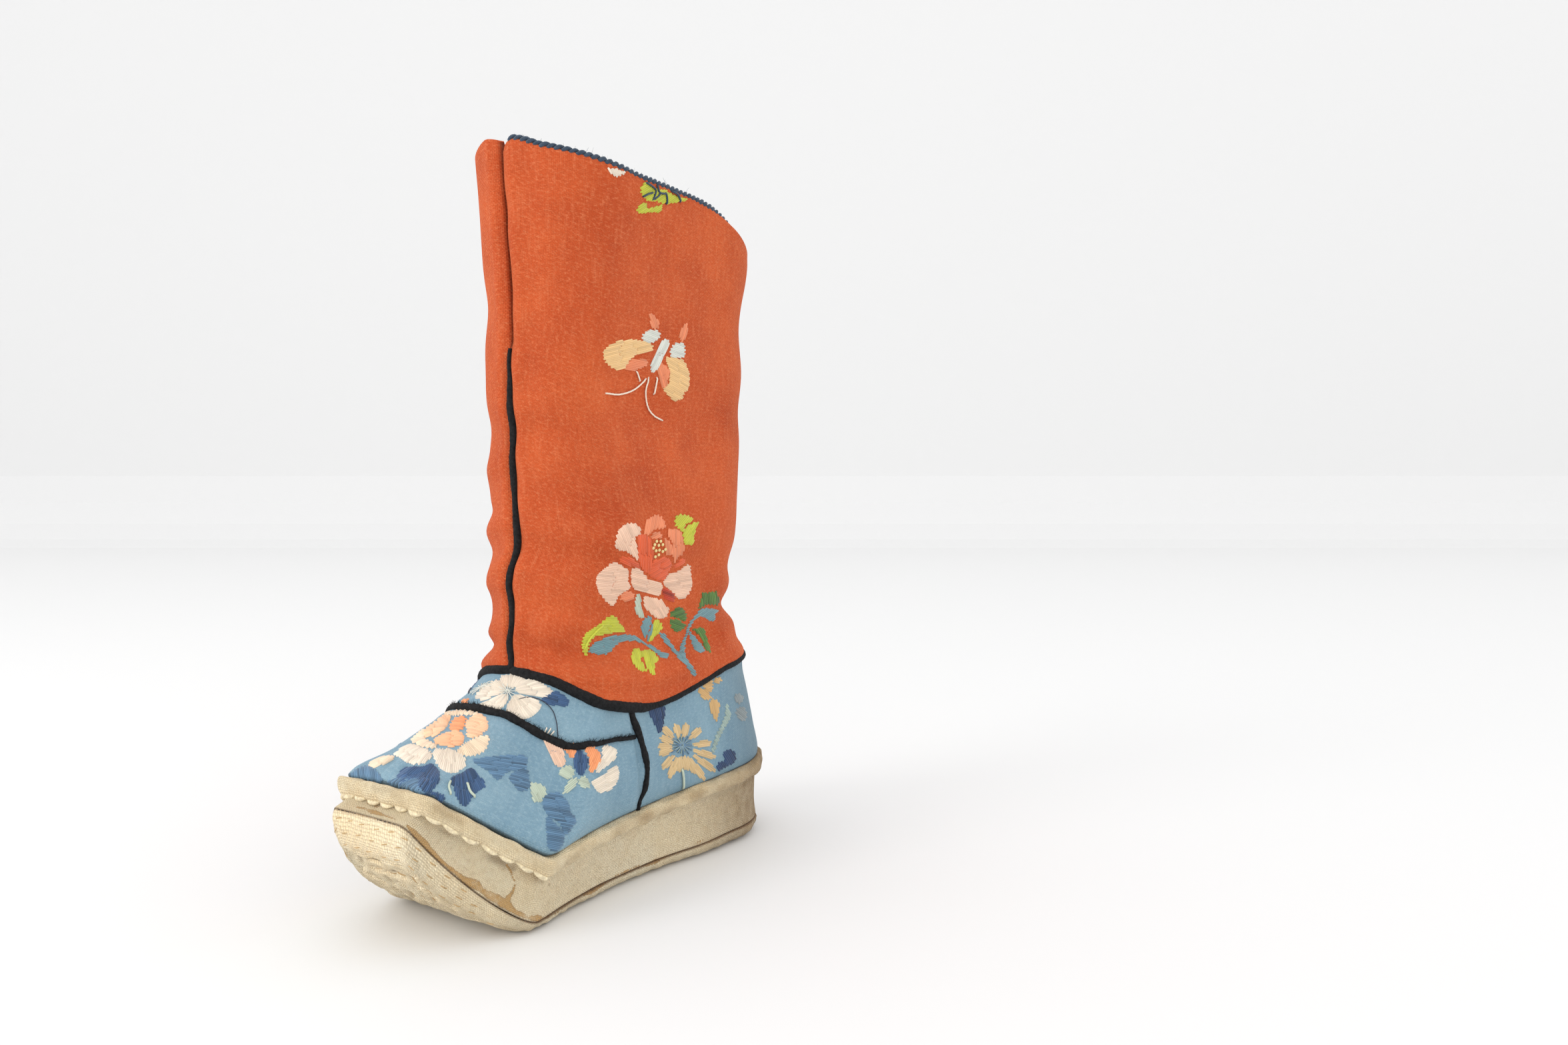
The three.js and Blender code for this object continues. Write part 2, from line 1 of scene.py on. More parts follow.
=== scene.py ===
# Child's boot: silk shaft and foot upper with piped seams, on a thick quilted canvas sole.
# Lengths are millimetres until a mesh is made. The toe points to -Y, the wearer's left is +X.
import math

import bpy
import numpy as np
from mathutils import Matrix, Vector
from mathutils.bvhtree import BVHTree


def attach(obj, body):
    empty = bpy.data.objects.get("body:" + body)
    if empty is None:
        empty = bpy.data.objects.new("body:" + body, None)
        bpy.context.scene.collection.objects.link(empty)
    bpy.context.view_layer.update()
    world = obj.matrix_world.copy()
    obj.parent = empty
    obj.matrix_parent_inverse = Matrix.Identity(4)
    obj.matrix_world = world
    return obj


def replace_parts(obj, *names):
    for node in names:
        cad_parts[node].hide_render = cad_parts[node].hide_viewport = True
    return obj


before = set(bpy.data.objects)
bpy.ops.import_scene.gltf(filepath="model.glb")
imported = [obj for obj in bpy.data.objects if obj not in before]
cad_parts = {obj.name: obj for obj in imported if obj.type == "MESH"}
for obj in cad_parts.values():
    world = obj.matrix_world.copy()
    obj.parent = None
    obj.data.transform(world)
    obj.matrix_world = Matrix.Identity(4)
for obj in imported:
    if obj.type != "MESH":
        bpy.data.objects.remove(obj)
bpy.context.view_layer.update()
mm = 0.001
rng = np.random.default_rng(7)


# Helpers for numbers

def smooth(edgeLow, edgeHigh, value):  # cubic step from 0 to 1
    t = np.clip((value - edgeLow) / (edgeHigh - edgeLow), 0, 1)
    return t * t * (3 - 2 * t)


def alongTable(keys, values, at):
    # Hermite curve through the rows of a table, each slope taken from the rows on both sides
    keys, values = np.asarray(keys, float), np.asarray(values, float)
    at = np.clip(at, keys[0], keys[-1])
    row = np.clip(np.searchsorted(keys, at, side="right") - 1, 0, len(keys) - 2)
    before = np.maximum(np.arange(len(keys)) - 1, 0)
    after = np.minimum(np.arange(len(keys)) + 1, len(keys) - 1)
    slope = (values[after] - values[before]) / (keys[after] - keys[before])
    span = keys[row + 1] - keys[row]
    t = (at - keys[row]) / span
    return ((2 * t ** 3 - 3 * t ** 2 + 1) * values[row] + (t ** 3 - 2 * t ** 2 + t) * span * slope[row]
            + (3 * t ** 2 - 2 * t ** 3) * values[row + 1] + (t ** 3 - t ** 2) * span * slope[row + 1])


def softMax(a, b, softness):
    return (a + b) / 2 + np.hypot((a - b) / 2, softness)


def unit(vectors):
    return vectors / np.maximum(np.linalg.norm(vectors, axis=-1, keepdims=True), 1e-9)


upwards = np.array([0, 0, 1])


def levelled(vectors):  # unit vectors of the level part
    return unit(vectors * [1, 1, 0])


def bell(away, width, power=2):  # 1 in the middle, fading out over the width
    return np.exp(-(away / width) ** power)


def runAlong(path):  # running length of a path from its first point on
    return np.concatenate([[0], np.cumsum(np.linalg.norm(np.diff(path, axis=0), axis=1))])


def runBothWays(ring):  # running length from a ring's first point to either side
    run = runAlong(ring)
    return np.minimum(run, run[-1] - run)


def ripple(u, v, seed, waves=6):
    # sum of sine waves of random direction and phase: a smooth unevenness between about -1 and 1
    draw = np.random.default_rng(seed)
    total = np.zeros(np.broadcast(u, v).shape)
    for _ in range(waves):
        angle, phase, pitch = draw.uniform(0, 2 * np.pi), draw.uniform(0, 2 * np.pi), draw.uniform(0.7, 1.5)
        total += np.sin((u * np.cos(angle) + v * np.sin(angle)) * pitch * 2 * np.pi + phase)
    return total / waves * 1.6


def wavy(run, pitch, seed):  # the same unevenness along one line
    return ripple(run / pitch, 0 * run, seed)


def srgb(red, green, blue):  # a colour as read on a screen, 0 to 255, turned linear
    c = np.array([red, green, blue]) / 255
    return tuple(np.where(c <= 0.04045, c / 12.92, ((c + 0.055) / 1.055) ** 2.4)) + (1.0,)


# The last: outline and heights that all pieces share

last = dict(
    length=157, toeWidth=33.4, ballWidth=61.2, waistWidth=51.4, heelWidth=55.8,
    toeOverhang=6.1, ballSetback=33.8, waistSetback=76.5, heelRound=29.5, toeCorner=2.6, ballCorner=5,
    toeLineHeight=41.9, ballLineHeight=20.6, heelLineHeight=28, weltProud=3.2, weltProudAtHeel=1.7,
    outsoleToeHeight=35.6, outsoleThickness=3, outsoleHeelThickness=5.4, toeCurve=1.5, toeSpring=32.5,
    toeSpringFullness=1.5, outsoleInset=2.2, outsoleInsetAtHeel=0.6, weltThickness=6.2,
)
front, rear = -last["length"] / 2, last["length"] / 2
toeLineY, ballY = front + last["toeOverhang"], front + last["ballSetback"]
waistY, rearLineY = front + last["waistSetback"], rear - last["weltProudAtHeel"]

# steps that each stretch of the half outline takes, and at its end: place on the ankle line, bulge,
# lowness of the bulge, hollow of the instep
stretchSteps = np.array([3, 2, 3, 3, 3, 4, 6])
stretchEnds = np.concatenate([[0], np.cumsum(stretchSteps)])
ankleEnd = [0, 0.065, 0.105, 0.17, 0.21, 0.275, 0.74, 1]
bulgeShare = [0.4, 0.4, 0.44, 0.6, 0.9, 0.45, 0.22, 0.22]
bulgeLow = [0.25, 0.25, 0.28, 0.45, 0.6, 0.8, 0.8, 0.8]
instepShare = [1, 1, 0.95, 0.55, 0, 0, 0, 0]
halfSteps = int(stretchEnds[-1])


def bezier(t, *points):
    # Bezier curve of any degree, by repeated blending of its points
    layer = [np.broadcast_to(np.asarray(p, float), t.shape + (2,)) for p in points]
    while len(layer) > 1:
        layer = [a + (b - a) * t[:, None] for a, b in zip(layer, layer[1:])]
    return layer[0]


def outlineAt(step, grow=0, heelGrow=None, lean=0):
    # half the sole's outline: line, rounded toe corner, slanted line, rounded ball, two curves along
    # the waist and a quarter ellipse at the heel
    heelGrow = grow if heelGrow is None else heelGrow
    slant = unit(np.array([last["ballWidth"] - last["toeWidth"], 2 * (ballY - toeLineY)]))
    slantAngle = math.acos(slant[0])
    toe = np.array([last["toeWidth"] / 2 + grow * math.tan(slantAngle / 2), toeLineY - grow - lean])
    mitre = math.tan((math.pi / 2 - slantAngle) / 2)
    ball = np.array([last["ballWidth"] / 2 + grow, ballY - grow * mitre - lean / 2])
    along = unit(ball - toe)
    toeIn, toeOut = toe - [last["toeCorner"], 0], toe + along * last["toeCorner"]
    ballIn = ball - along * last["ballCorner"]
    waist = np.array([last["waistWidth"] / 2 + grow, waistY])
    waistPull = np.array([waist[0], (ball[1] + waistY) / 2])
    ballOut = ball + unit(waistPull - ball) * last["ballCorner"]
    heelHalf = last["heelWidth"] / 2 + heelGrow
    heelSide = np.array([heelHalf, rearLineY - last["heelRound"]])
    middleY = (waistY + heelSide[1]) / 2
    step = np.clip(np.asarray(step, float).ravel(), 0, halfSteps)
    row = np.clip(np.searchsorted(stretchEnds, step, side="right") - 1, 0, 6)
    t = (step - stretchEnds[row]) / stretchSteps[row]
    turn = t * np.pi / 2
    heelLength = last["heelRound"] + heelGrow
    heel = np.stack([heelHalf * np.cos(turn), heelSide[1] + heelLength * np.sin(turn)], -1)
    parts = [bezier(t, [0, toe[1]], toeIn), bezier(t, toeIn, toe, toeOut), bezier(t, toeOut, ballIn),
             bezier(t, ballIn, ball, ballOut), bezier(t, ballOut, waistPull, waist),
             bezier(t, waist, [waist[0], middleY], [heelHalf, middleY], heelSide), heel]
    return np.select([(row == k)[:, None] for k in range(7)], parts)


def lineThrough(y, yA, zA, yB, zB):
    return zA + (zB - zA) * (y - yA) / (yB - yA)


def weltTop(y):  # steep at the toe, nearly level behind the ball
    toeLine = lineThrough(y, toeLineY, last["toeLineHeight"], ballY, last["ballLineHeight"])
    backLine = lineThrough(y, ballY, last["ballLineHeight"], rearLineY, last["heelLineHeight"])
    return softMax(toeLine, backLine, 0.7)


def outsoleTop(y):  # slow rise to the heel, and a curve that steepens to the toe
    toeReach = np.maximum((ballY - y) / (ballY - front), 0) ** last["toeCurve"]
    heelReach = np.maximum((y - ballY) / (rearLineY - ballY), 0)
    thick = last["outsoleThickness"]
    return (thick + (last["outsoleToeHeight"] - thick) * toeReach
            + (last["outsoleHeelThickness"] - thick) * heelReach)


def outsoleBottom(y):  # flat on the floor, then a rounded sweep up to the toe
    reach = np.clip((front + last["toeSpring"] - y) / last["toeSpring"], 0, 1)
    full = last["toeSpringFullness"]
    return last["toeSpring"] * (1 - (1 - reach ** full) ** (1 / full))


def evenSteps(count):
    # ring steps spaced so that the outline's points lie evenly: the inverse of its running length
    dense = np.linspace(0, halfSteps, 1200)
    run = runAlong(outlineAt(dense))
    half = np.interp(np.linspace(0, run[-1], count // 2 + 1), run, dense)
    return np.concatenate([half, 2 * halfSteps - half[-2:0:-1]])


def mirrored(ringStep):  # the step on the left half, and +1 or -1 for the side
    right = ringStep > halfSteps
    return np.where(right, 2 * halfSteps - ringStep, ringStep), np.where(right, -1.0, 1.0)


def soleRing(ringStep, heightAt, **offsets):
    step, side = mirrored(ringStep)
    flat = outlineAt(step, **offsets)
    return np.stack([flat[:, 0] * side, flat[:, 1], heightAt(flat[:, 1])], -1)


# Shaft and foot upper: the same sections as the frame's solids, with soft folds

shaft = dict(
    ankleFront=67, ankleSide=54.3, height=221, collarRear=197, notch=3, width=46, frontSetback=49.8,
    depth=99, seamDepth=1.5, wall=2.2, roundShare=0.28, frontRound=0.95, rearRound=1.05,
    seamSpread=0.02, swaySpread=0.12, gap=0.3, columns=480, rows=168, frontCrowding=0.62,
    pipingTop=163, halfRun=122, sideLift=1.35, farLift=1.2, hem=1.3, liningStart=5, rowHeight=0.8,
)
shaftFront = front + shaft["frontSetback"]
shaftRear = shaftFront + shaft["depth"]
# sections from below the ankle to above the collar: rise, half width, front, rear, sway
shaftSections = np.array([
    (-0.12, 1.18, 0.02, 0.01, 0), (-0.045, 1.15, 0.016, -0.012, 0), (0, 1.08, 0.006, -0.02, 0.01),
    (0.045, 0.92, 0.004, -0.06, -0.02), (0.096, 0.88, 0, -0.068, 0), (0.16, 0.96, 0, -0.066, -0.03),
    (0.256, 1.15, -0.01, -0.06, 0.035), (0.327, 1.08, -0.008, -0.04, 0.01), (0.404, 0.96, -0.004, -0.012, 0),
    (0.468, 0.91, -0.002, 0.004, 0.012), (0.545, 0.93, 0.004, 0.006, -0.01), (0.66, 1.02, 0, 0, 0),
    (0.756, 1.05, 0, 0, -0.012), (0.84, 1.08, 0.008, 0.022, -0.022), (0.93, 1.14, 0.014, 0.03, -0.036),
    (1.02, 1.2, 0.02, 0.03, -0.05),
])
# along half the ring from the front: share of the way from the front's height to the ankle's height
# at the side, and to the collar's at the rear
ankleSeam = np.array([(0, 0), (0.06, 0.06), (0.114, 0.22), (0.156, 0.46), (0.2, 0.72), (0.25, 0.87),
                      (0.33, 1), (0.44, 0.96), (0.6, 0.71), (0.72, 0.48), (0.85, 0.34), (1, 0.34)])
collarEdge = np.array([(0, 0.02), (0.04, 0), (0.1, 0.12), (0.28, 0.31), (0.45, 0.36), (0.6, 0.42),
                       (0.7, 0.54), (0.8, 0.76), (0.9, 0.95), (1, 1)])


def sectionPoint(z, along, inset):
    # half a section of the shaft: quarter ellipses at both ends joined by nearly flat sides
    rise = (z - shaft["ankleFront"]) / (shaft["height"] - shaft["ankleFront"])
    value = [alongTable(shaftSections[:, 0], shaftSections[:, k], rise) for k in range(1, 5)]
    half = shaft["width"] / 2 * value[0] - inset
    frontY = shaftFront - value[1] * shaft["depth"] + inset
    rearY = shaftRear + value[2] * shaft["depth"] - inset
    frontCentre, rearCentre = frontY + half * shaft["frontRound"], rearY - half * shaft["rearRound"]
    seam = shaft["seamDepth"] * bell(along, shaft["seamSpread"])
    sway = value[3] * shaft["width"] * bell(along, shaft["swaySpread"])
    share = shaft["roundShare"]
    frontTurn, rearTurn = along / share * np.pi / 2, (1 - along) / share * np.pi / 2
    t = (along - share) / (1 - 2 * share)
    ends = [along < share, along > 1 - share]
    x = np.select(ends, [half * np.sin(frontTurn), half * np.sin(rearTurn)], half)
    y = np.select(ends,
                  [frontCentre - (frontCentre - frontY) * np.cos(frontTurn) + seam,
                   rearCentre + (rearY - rearCentre) * np.cos(rearTurn)],
                  frontCentre + (rearCentre - frontCentre) * t)
    return x, y, np.where(along > 1 - share, 0, sway)


def ankleHeight(along):
    return shaft["ankleFront"] + (shaft["ankleSide"] - shaft["ankleFront"]) * alongTable(*ankleSeam.T, along)


def collarHeight(along, side):
    notch = shaft["notch"] * bell(along, shaft["seamSpread"])
    edge = shaft["height"] + (shaft["collarRear"] - shaft["height"]) * alongTable(*collarEdge.T, along)
    lifted = shaft["sideLift"] + shaft["farLift"] * smooth(0.04, 0.11, along) * smooth(0.5, 0.16, along)
    return np.where(side < 0, edge + lifted, edge - notch)


def shaftPoint(along, side, rise, inset=0, lift=0):
    z = ankleHeight(along) + lift
    z = z + (collarHeight(along, side) - z) * rise
    x, y, sway = sectionPoint(z, along, inset)
    return np.stack([x * side + sway, y + 0 * z, z], -1)


upper = dict(vampBulge=5.5, instepHollow=4.6, fallOff=1.7, columns=520, rows=110, easing=110, sideSeamStep=14)


def upperPoint(ringStep, up):
    # from the welt to the ankle seam, on a bulging line that stands square to the chord between them
    step, side = mirrored(ringStep)
    beside = 0.2
    foot = outlineAt(step)
    before, after = outlineAt(np.maximum(step - beside, 0)), outlineAt(np.minimum(step + beside, halfSteps))
    outward = unit(np.stack([after[:, 1] - before[:, 1], before[:, 0] - after[:, 0], 0 * side], -1))
    outward[:, 0] *= side
    start = np.stack([foot[:, 0] * side, foot[:, 1], weltTop(foot[:, 1])], -1)
    end = shaftPoint(alongTable(stretchEnds, ankleEnd, step), side, 0 * step)
    chord = unit(end - start)
    stand = unit(outward - chord * np.sum(outward * chord, -1, keepdims=True))
    low = alongTable(stretchEnds, bulgeLow, step)
    crest = low / (low + upper["fallOff"])
    crown = (up / crest) ** low * ((1 - up) / (1 - crest)) ** upper["fallOff"]
    dip = upper["instepHollow"] * alongTable(stretchEnds, instepShare, step) * np.sin(np.pi * up) ** 2
    bulge = upper["vampBulge"] * alongTable(stretchEnds, bulgeShare, step) * crown - dip
    return start + (end - start) * np.broadcast_to(up, step.shape)[:, None] + stand * bulge[:, None]


# Meshes

def addThing(name, data):
    thing = bpy.data.objects.new(name, data)
    bpy.context.scene.collection.objects.link(thing)
    return thing


def meshObject(name, vertices, faces, material, uv, marks=None):
    # vertices in millimetres; marks are numbers per vertex that the materials read
    mesh = bpy.data.meshes.new(name)
    vertices = np.asarray(vertices, np.float32).reshape(-1, 3) * mm
    faces = np.asarray(faces, np.int32)
    mesh.vertices.add(len(vertices))
    mesh.vertices.foreach_set("co", vertices.ravel())
    mesh.loops.add(faces.size)
    mesh.loops.foreach_set("vertex_index", faces.ravel())
    mesh.polygons.add(len(faces))
    mesh.polygons.foreach_set("loop_start", np.arange(0, faces.size, faces.shape[1], dtype=np.int32))
    mesh.polygons.foreach_set("use_smooth", np.ones(len(faces), bool))
    layer = mesh.uv_layers.new(name="cloth")
    layer.data.foreach_set("uv", np.asarray(uv, np.float32).ravel())
    for markName, values in (marks or {}).items():
        mark = mesh.attributes.new(markName, "FLOAT", "POINT")
        mark.data.foreach_set("value", np.asarray(values, np.float32).ravel())
    mesh.materials.append(material)
    mesh.update()
    mesh.validate()
    thing = addThing(name, mesh)
    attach(thing, "root")
    return thing


def gridFaces(rows, columns, closedRows=False, closedColumns=True):
    # quads between neighbouring rows and columns of a grid of points
    r = np.arange(rows if closedRows else rows - 1)[:, None]
    c = np.arange(columns if closedColumns else columns - 1)[None, :]
    r2, c2 = (r + 1) % rows, (c + 1) % columns
    quads = np.stack([r * columns + c, r * columns + c2, r2 * columns + c2, r2 * columns + c], -1)
    return quads.reshape(-1, 4)


def runningLength(points, axis, closed=False):
    # mean length along the rows or columns of a grid, from its first line on
    ring = np.concatenate([points, np.take(points, [0], axis)], axis) if closed else points
    gaps = np.linalg.norm(np.diff(ring, axis=axis), axis=-1).mean(1 - axis)
    return np.concatenate([[0], np.cumsum(gaps)])


def clothMap(points, closedRows=False, closedColumns=True):
    # the cloth's own millimetres, for each corner of each face
    u, v = runningLength(points, 1, closedColumns), runningLength(points, 0, closedRows)
    r, c = np.meshgrid(np.arange(len(v) - 1), np.arange(len(u) - 1), indexing="ij")
    corners = [np.stack([u[c + right], v[r + up]], -1) for right, up in ((0, 0), (1, 0), (1, 1), (0, 1))]
    return np.stack(corners, 2)


def gridObject(name, points, material, closedRows=False, marks=None, uv=None):
    uv = clothMap(points, closedRows) if uv is None else uv
    return meshObject(name, points, gridFaces(*points.shape[:2], closedRows), material, uv, marks)


def slopeOf(points, axis, closed):
    return np.roll(points, -1, axis) - np.roll(points, 1, axis) if closed else np.gradient(points, axis=axis)


def gridNormals(points, closedRows=False):
    # cross product of the grid's two directions; its columns run round
    return unit(np.cross(slopeOf(points, 1, True), slopeOf(points, 0, closedRows)))


def tubeAlong(path, radius, sides, closed=False):
    # circles carried along a path on a frame that doesn't twist; the radius may change along it
    path = np.asarray(path, float)
    tangent = unit(slopeOf(path, 0, closed))
    reference = np.zeros_like(path)
    side = unit(np.cross(tangent[0], [0.3, 0.2, 0.93]))
    for k in range(len(path)):
        side = unit(side - tangent[k] * np.dot(side, tangent[k]))
        reference[k] = side
    other = np.cross(tangent, reference)
    if closed:
        slip = math.atan2(np.dot(reference[0], other[-1]), np.dot(reference[0], reference[-1]))
        turn = np.linspace(0, slip, len(path))[:, None]
        reference, other = (reference * np.cos(turn) + other * np.sin(turn),
                            other * np.cos(turn) - reference * np.sin(turn))
    angle = np.linspace(0, 2 * np.pi, sides, endpoint=False)
    cos, sin = (wave(angle)[None, :, None] for wave in (np.cos, np.sin))
    ring = reference[:, None] * cos + other[:, None] * sin
    radius = np.asarray(radius, float)
    if radius.ndim < 2:
        radius = np.broadcast_to(radius, (len(path),))[:, None]
    return path[:, None] + ring * radius[..., None]


def closedEnds(tube):
    # a tube whose first and last rings are drawn together on their centres
    start, end = tube[:1].mean(1, keepdims=True), tube[-1:].mean(1, keepdims=True)
    return np.concatenate([tube[:1] * 0.05 + start * 0.95, tube, tube[-1:] * 0.05 + end * 0.95])


def evenPath(points, pitch, closed=False):
    # a smooth curve through chosen points, resampled at an even pitch
    points = np.asarray(points, float)
    if closed:
        points = np.concatenate([points, points[:1]])
    run = runAlong(points)
    count = max(int(run[-1] / pitch), 4)
    at = np.linspace(0, run[-1], count + 1)
    out = np.stack([alongTable(run, points[:, k], at) for k in range(points.shape[1])], -1)
    return out[:-1] if closed else out


def gridsObject(name, grids, material, closedColumns=True):
    # many small grids of one size as one mesh, each with its own stretch of cloth
    grids = np.asarray(grids)
    count, rows, columns = grids.shape[:3]
    shift = (np.arange(count) * rows * columns)[:, None, None]
    faces = gridFaces(rows, columns, False, closedColumns)[None] + shift
    uv = clothMap(grids[0], False, closedColumns).reshape(-1, 2)[None] + rng.uniform(0, 40, (count, 1, 2))
    return meshObject(name, grids, faces.reshape(-1, 4), material, uv)


def pointsOn(grid, column, row):
    # points of a closed grid at fractional columns and rows
    column, row = np.broadcast_arrays(np.asarray(column, float), np.asarray(row, float))
    count = grid.shape[1]
    c, r = np.floor(column).astype(int), np.clip(np.floor(row).astype(int), 0, len(grid) - 2)
    fc, fr = (column - c)[..., None], (row - r)[..., None]
    low = grid[r, c % count] * (1 - fc) + grid[r, (c + 1) % count] * fc
    high = grid[r + 1, c % count] * (1 - fc) + grid[r + 1, (c + 1) % count] * fc
    return low * (1 - fr) + high * fr


def treeOf(*grids):
    # a tree for finding places on several grids; each comes with whether its rows close
    faces, points, count = [], [], 0
    for grid, closedRows in grids:
        faces.append(gridFaces(*grid.shape[:2], closedRows) + count)
        points.append(grid.reshape(-1, 3))
        count += grid[..., 0].size
    return BVHTree.FromPolygons(np.concatenate(points).tolist(), np.concatenate(faces).tolist())


# Material building

def newMaterial(name):
    material = bpy.data.materials.new(name)
    material.use_nodes = True
    tree = material.node_tree
    return material, tree, tree.nodes["Principled BSDF"]


def fillSockets(tree, node, sockets):
    # a link where the value is another node's output, or else the constant on the socket itself
    for key, value in sockets.items():
        if isinstance(value, bpy.types.NodeSocket):
            tree.links.new(value, node.inputs[key])
        else:
            node.inputs[key].default_value = value


def addNode(tree, kind, sockets=None, **settings):
    node = tree.nodes.new(kind)
    for key, value in settings.items():
        setattr(node, key, value)
    fillSockets(tree, node, sockets or {})
    return node


def maths(tree, operation, a, b=0.0, clamp=False):
    return addNode(tree, "ShaderNodeMath", {0: a, 1: b}, operation=operation, use_clamp=clamp).outputs[0]


def times(tree, a, b, clamp=False):
    return maths(tree, "MULTIPLY", a, b, clamp)


def plus(tree, a, b):
    return maths(tree, "ADD", a, b)


def vectorMath(tree, operation, sockets):
    return addNode(tree, "ShaderNodeVectorMath", sockets, operation=operation).outputs[0]


def mixColour(tree, factor, a, b):
    return addNode(tree, "ShaderNodeMix", {0: factor, 6: a, 7: b}, data_type="RGBA").outputs[2]


def spread(tree, value, low, high):  # rescales a value from low..high to 0..1
    return addNode(tree, "ShaderNodeMapRange", {0: value, 1: low, 2: high}).outputs[0]


def noise(tree, vector, scale, detail=3.0, roughness=0.6):
    sockets = {"Vector": vector, "Scale": scale, "Detail": detail, "Roughness": roughness}
    return addNode(tree, "ShaderNodeTexNoise", sockets).outputs[0]


def stretched(tree, vector, x, y):
    return vectorMath(tree, "MULTIPLY", {0: vector, 1: (x, y, 1)})


def bump(tree, strength, distance, height, **more):
    sockets = {"Strength": strength, "Distance": distance, "Height": height, **more}
    return addNode(tree, "ShaderNodeBump", sockets).outputs[0]


def attribute(tree, name, output="Fac"):
    return addNode(tree, "ShaderNodeAttribute", attribute_name=name).outputs[output]


def clothOf(tree):  # the cloth's own millimetres
    return addNode(tree, "ShaderNodeUVMap", uv_map="cloth").outputs[0]


def placeOf(tree):  # metres on the object
    return addNode(tree, "ShaderNodeTexCoord").outputs["Object"]


def placeGroup(tree, group, **sockets):
    return addNode(tree, "ShaderNodeGroup", sockets, node_tree=group).outputs


def newGroup(name, inputs, outputs):
    # the inputs are numbers with their defaults, or vectors, which have none
    group = bpy.data.node_groups.new(name, "ShaderNodeTree")
    for socketName, default in inputs.items():
        kind = "NodeSocketVector" if default is None else "NodeSocketFloat"
        socket = group.interface.new_socket(name=socketName, in_out="INPUT", socket_type=kind)
        if default is not None:
            socket.default_value = default
    for socketName in outputs:
        group.interface.new_socket(name=socketName, in_out="OUTPUT", socket_type="NodeSocketFloat")
    return group, addNode(group, "NodeGroupInput").outputs, addNode(group, "NodeGroupOutput").inputs


def makeWeaveGroup():
    # plain weave: warp and weft threads as the absolute sines of the two cloth directions, each one
    # on top where the product of the sines is positive or negative
    outputs = ["Height", "Slub", "Streak"]
    group, given, out = newGroup("weave", dict(Cloth=None, Pitch=0.5, Wander=0.2), outputs)
    drift = addNode(group, "ShaderNodeTexNoise", {"Vector": given[0], "Scale": 0.35, "Detail": 2.0})
    push = vectorMath(group, "SUBTRACT", {0: drift.outputs["Color"], 1: (0.5, 0.5, 0.5)})
    moved = vectorMath(group, "SCALE", {0: push, 3: given[2]})
    cloth = vectorMath(group, "ADD", {0: given[0], 1: moved})
    parts = addNode(group, "ShaderNodeSeparateXYZ", {0: cloth}).outputs
    warp, weft = (maths(group, "SINE", maths(group, "DIVIDE", times(group, parts[axis], math.pi), given[1]))
                  for axis in range(2))
    over = maths(group, "GREATER_THAN", times(group, warp, weft), 0.0)
    threads = [maths(group, "ABSOLUTE", sine) for sine in (warp, weft)]
    height = addNode(group, "ShaderNodeMix", {0: over, 2: threads[0], 3: threads[1]})
    group.links.new(height.outputs[0], out[0])
    slubs = [noise(group, stretched(group, cloth, x, y), 1.0) for x, y in ((1.5, 0.35), (0.35, 1.5))]
    group.links.new(maths(group, "MAXIMUM", *slubs), out[1])
    group.links.new(noise(group, stretched(group, cloth, 0.9, 0.09), 1.0), out[2])
    return group


def makeSoilGroup():
    # grime: a mask that grows towards the floor, broken by two sizes of noise
    group, given, out = newGroup("soil", dict(Object=None, Top=0.05, Amount=0.5), ["Mask"])
    z = addNode(group, "ShaderNodeSeparateXYZ", {0: given[0]}).outputs[2]
    low = spread(group, z, given[1], 0.0)
    coarse = spread(group, noise(group, given[0], 45.0, 5.0, 0.65), 0.42, 0.68)
    fine = spread(group, noise(group, given[0], 420.0), 0.3, 0.7)
    broken = times(group, coarse, fine)
    group.links.new(times(group, plus(group, times(group, low, 0.6), broken), given[2], clamp=True), out[0])
    return group


weaveGroup, soilGroup = makeWeaveGroup(), makeSoilGroup()


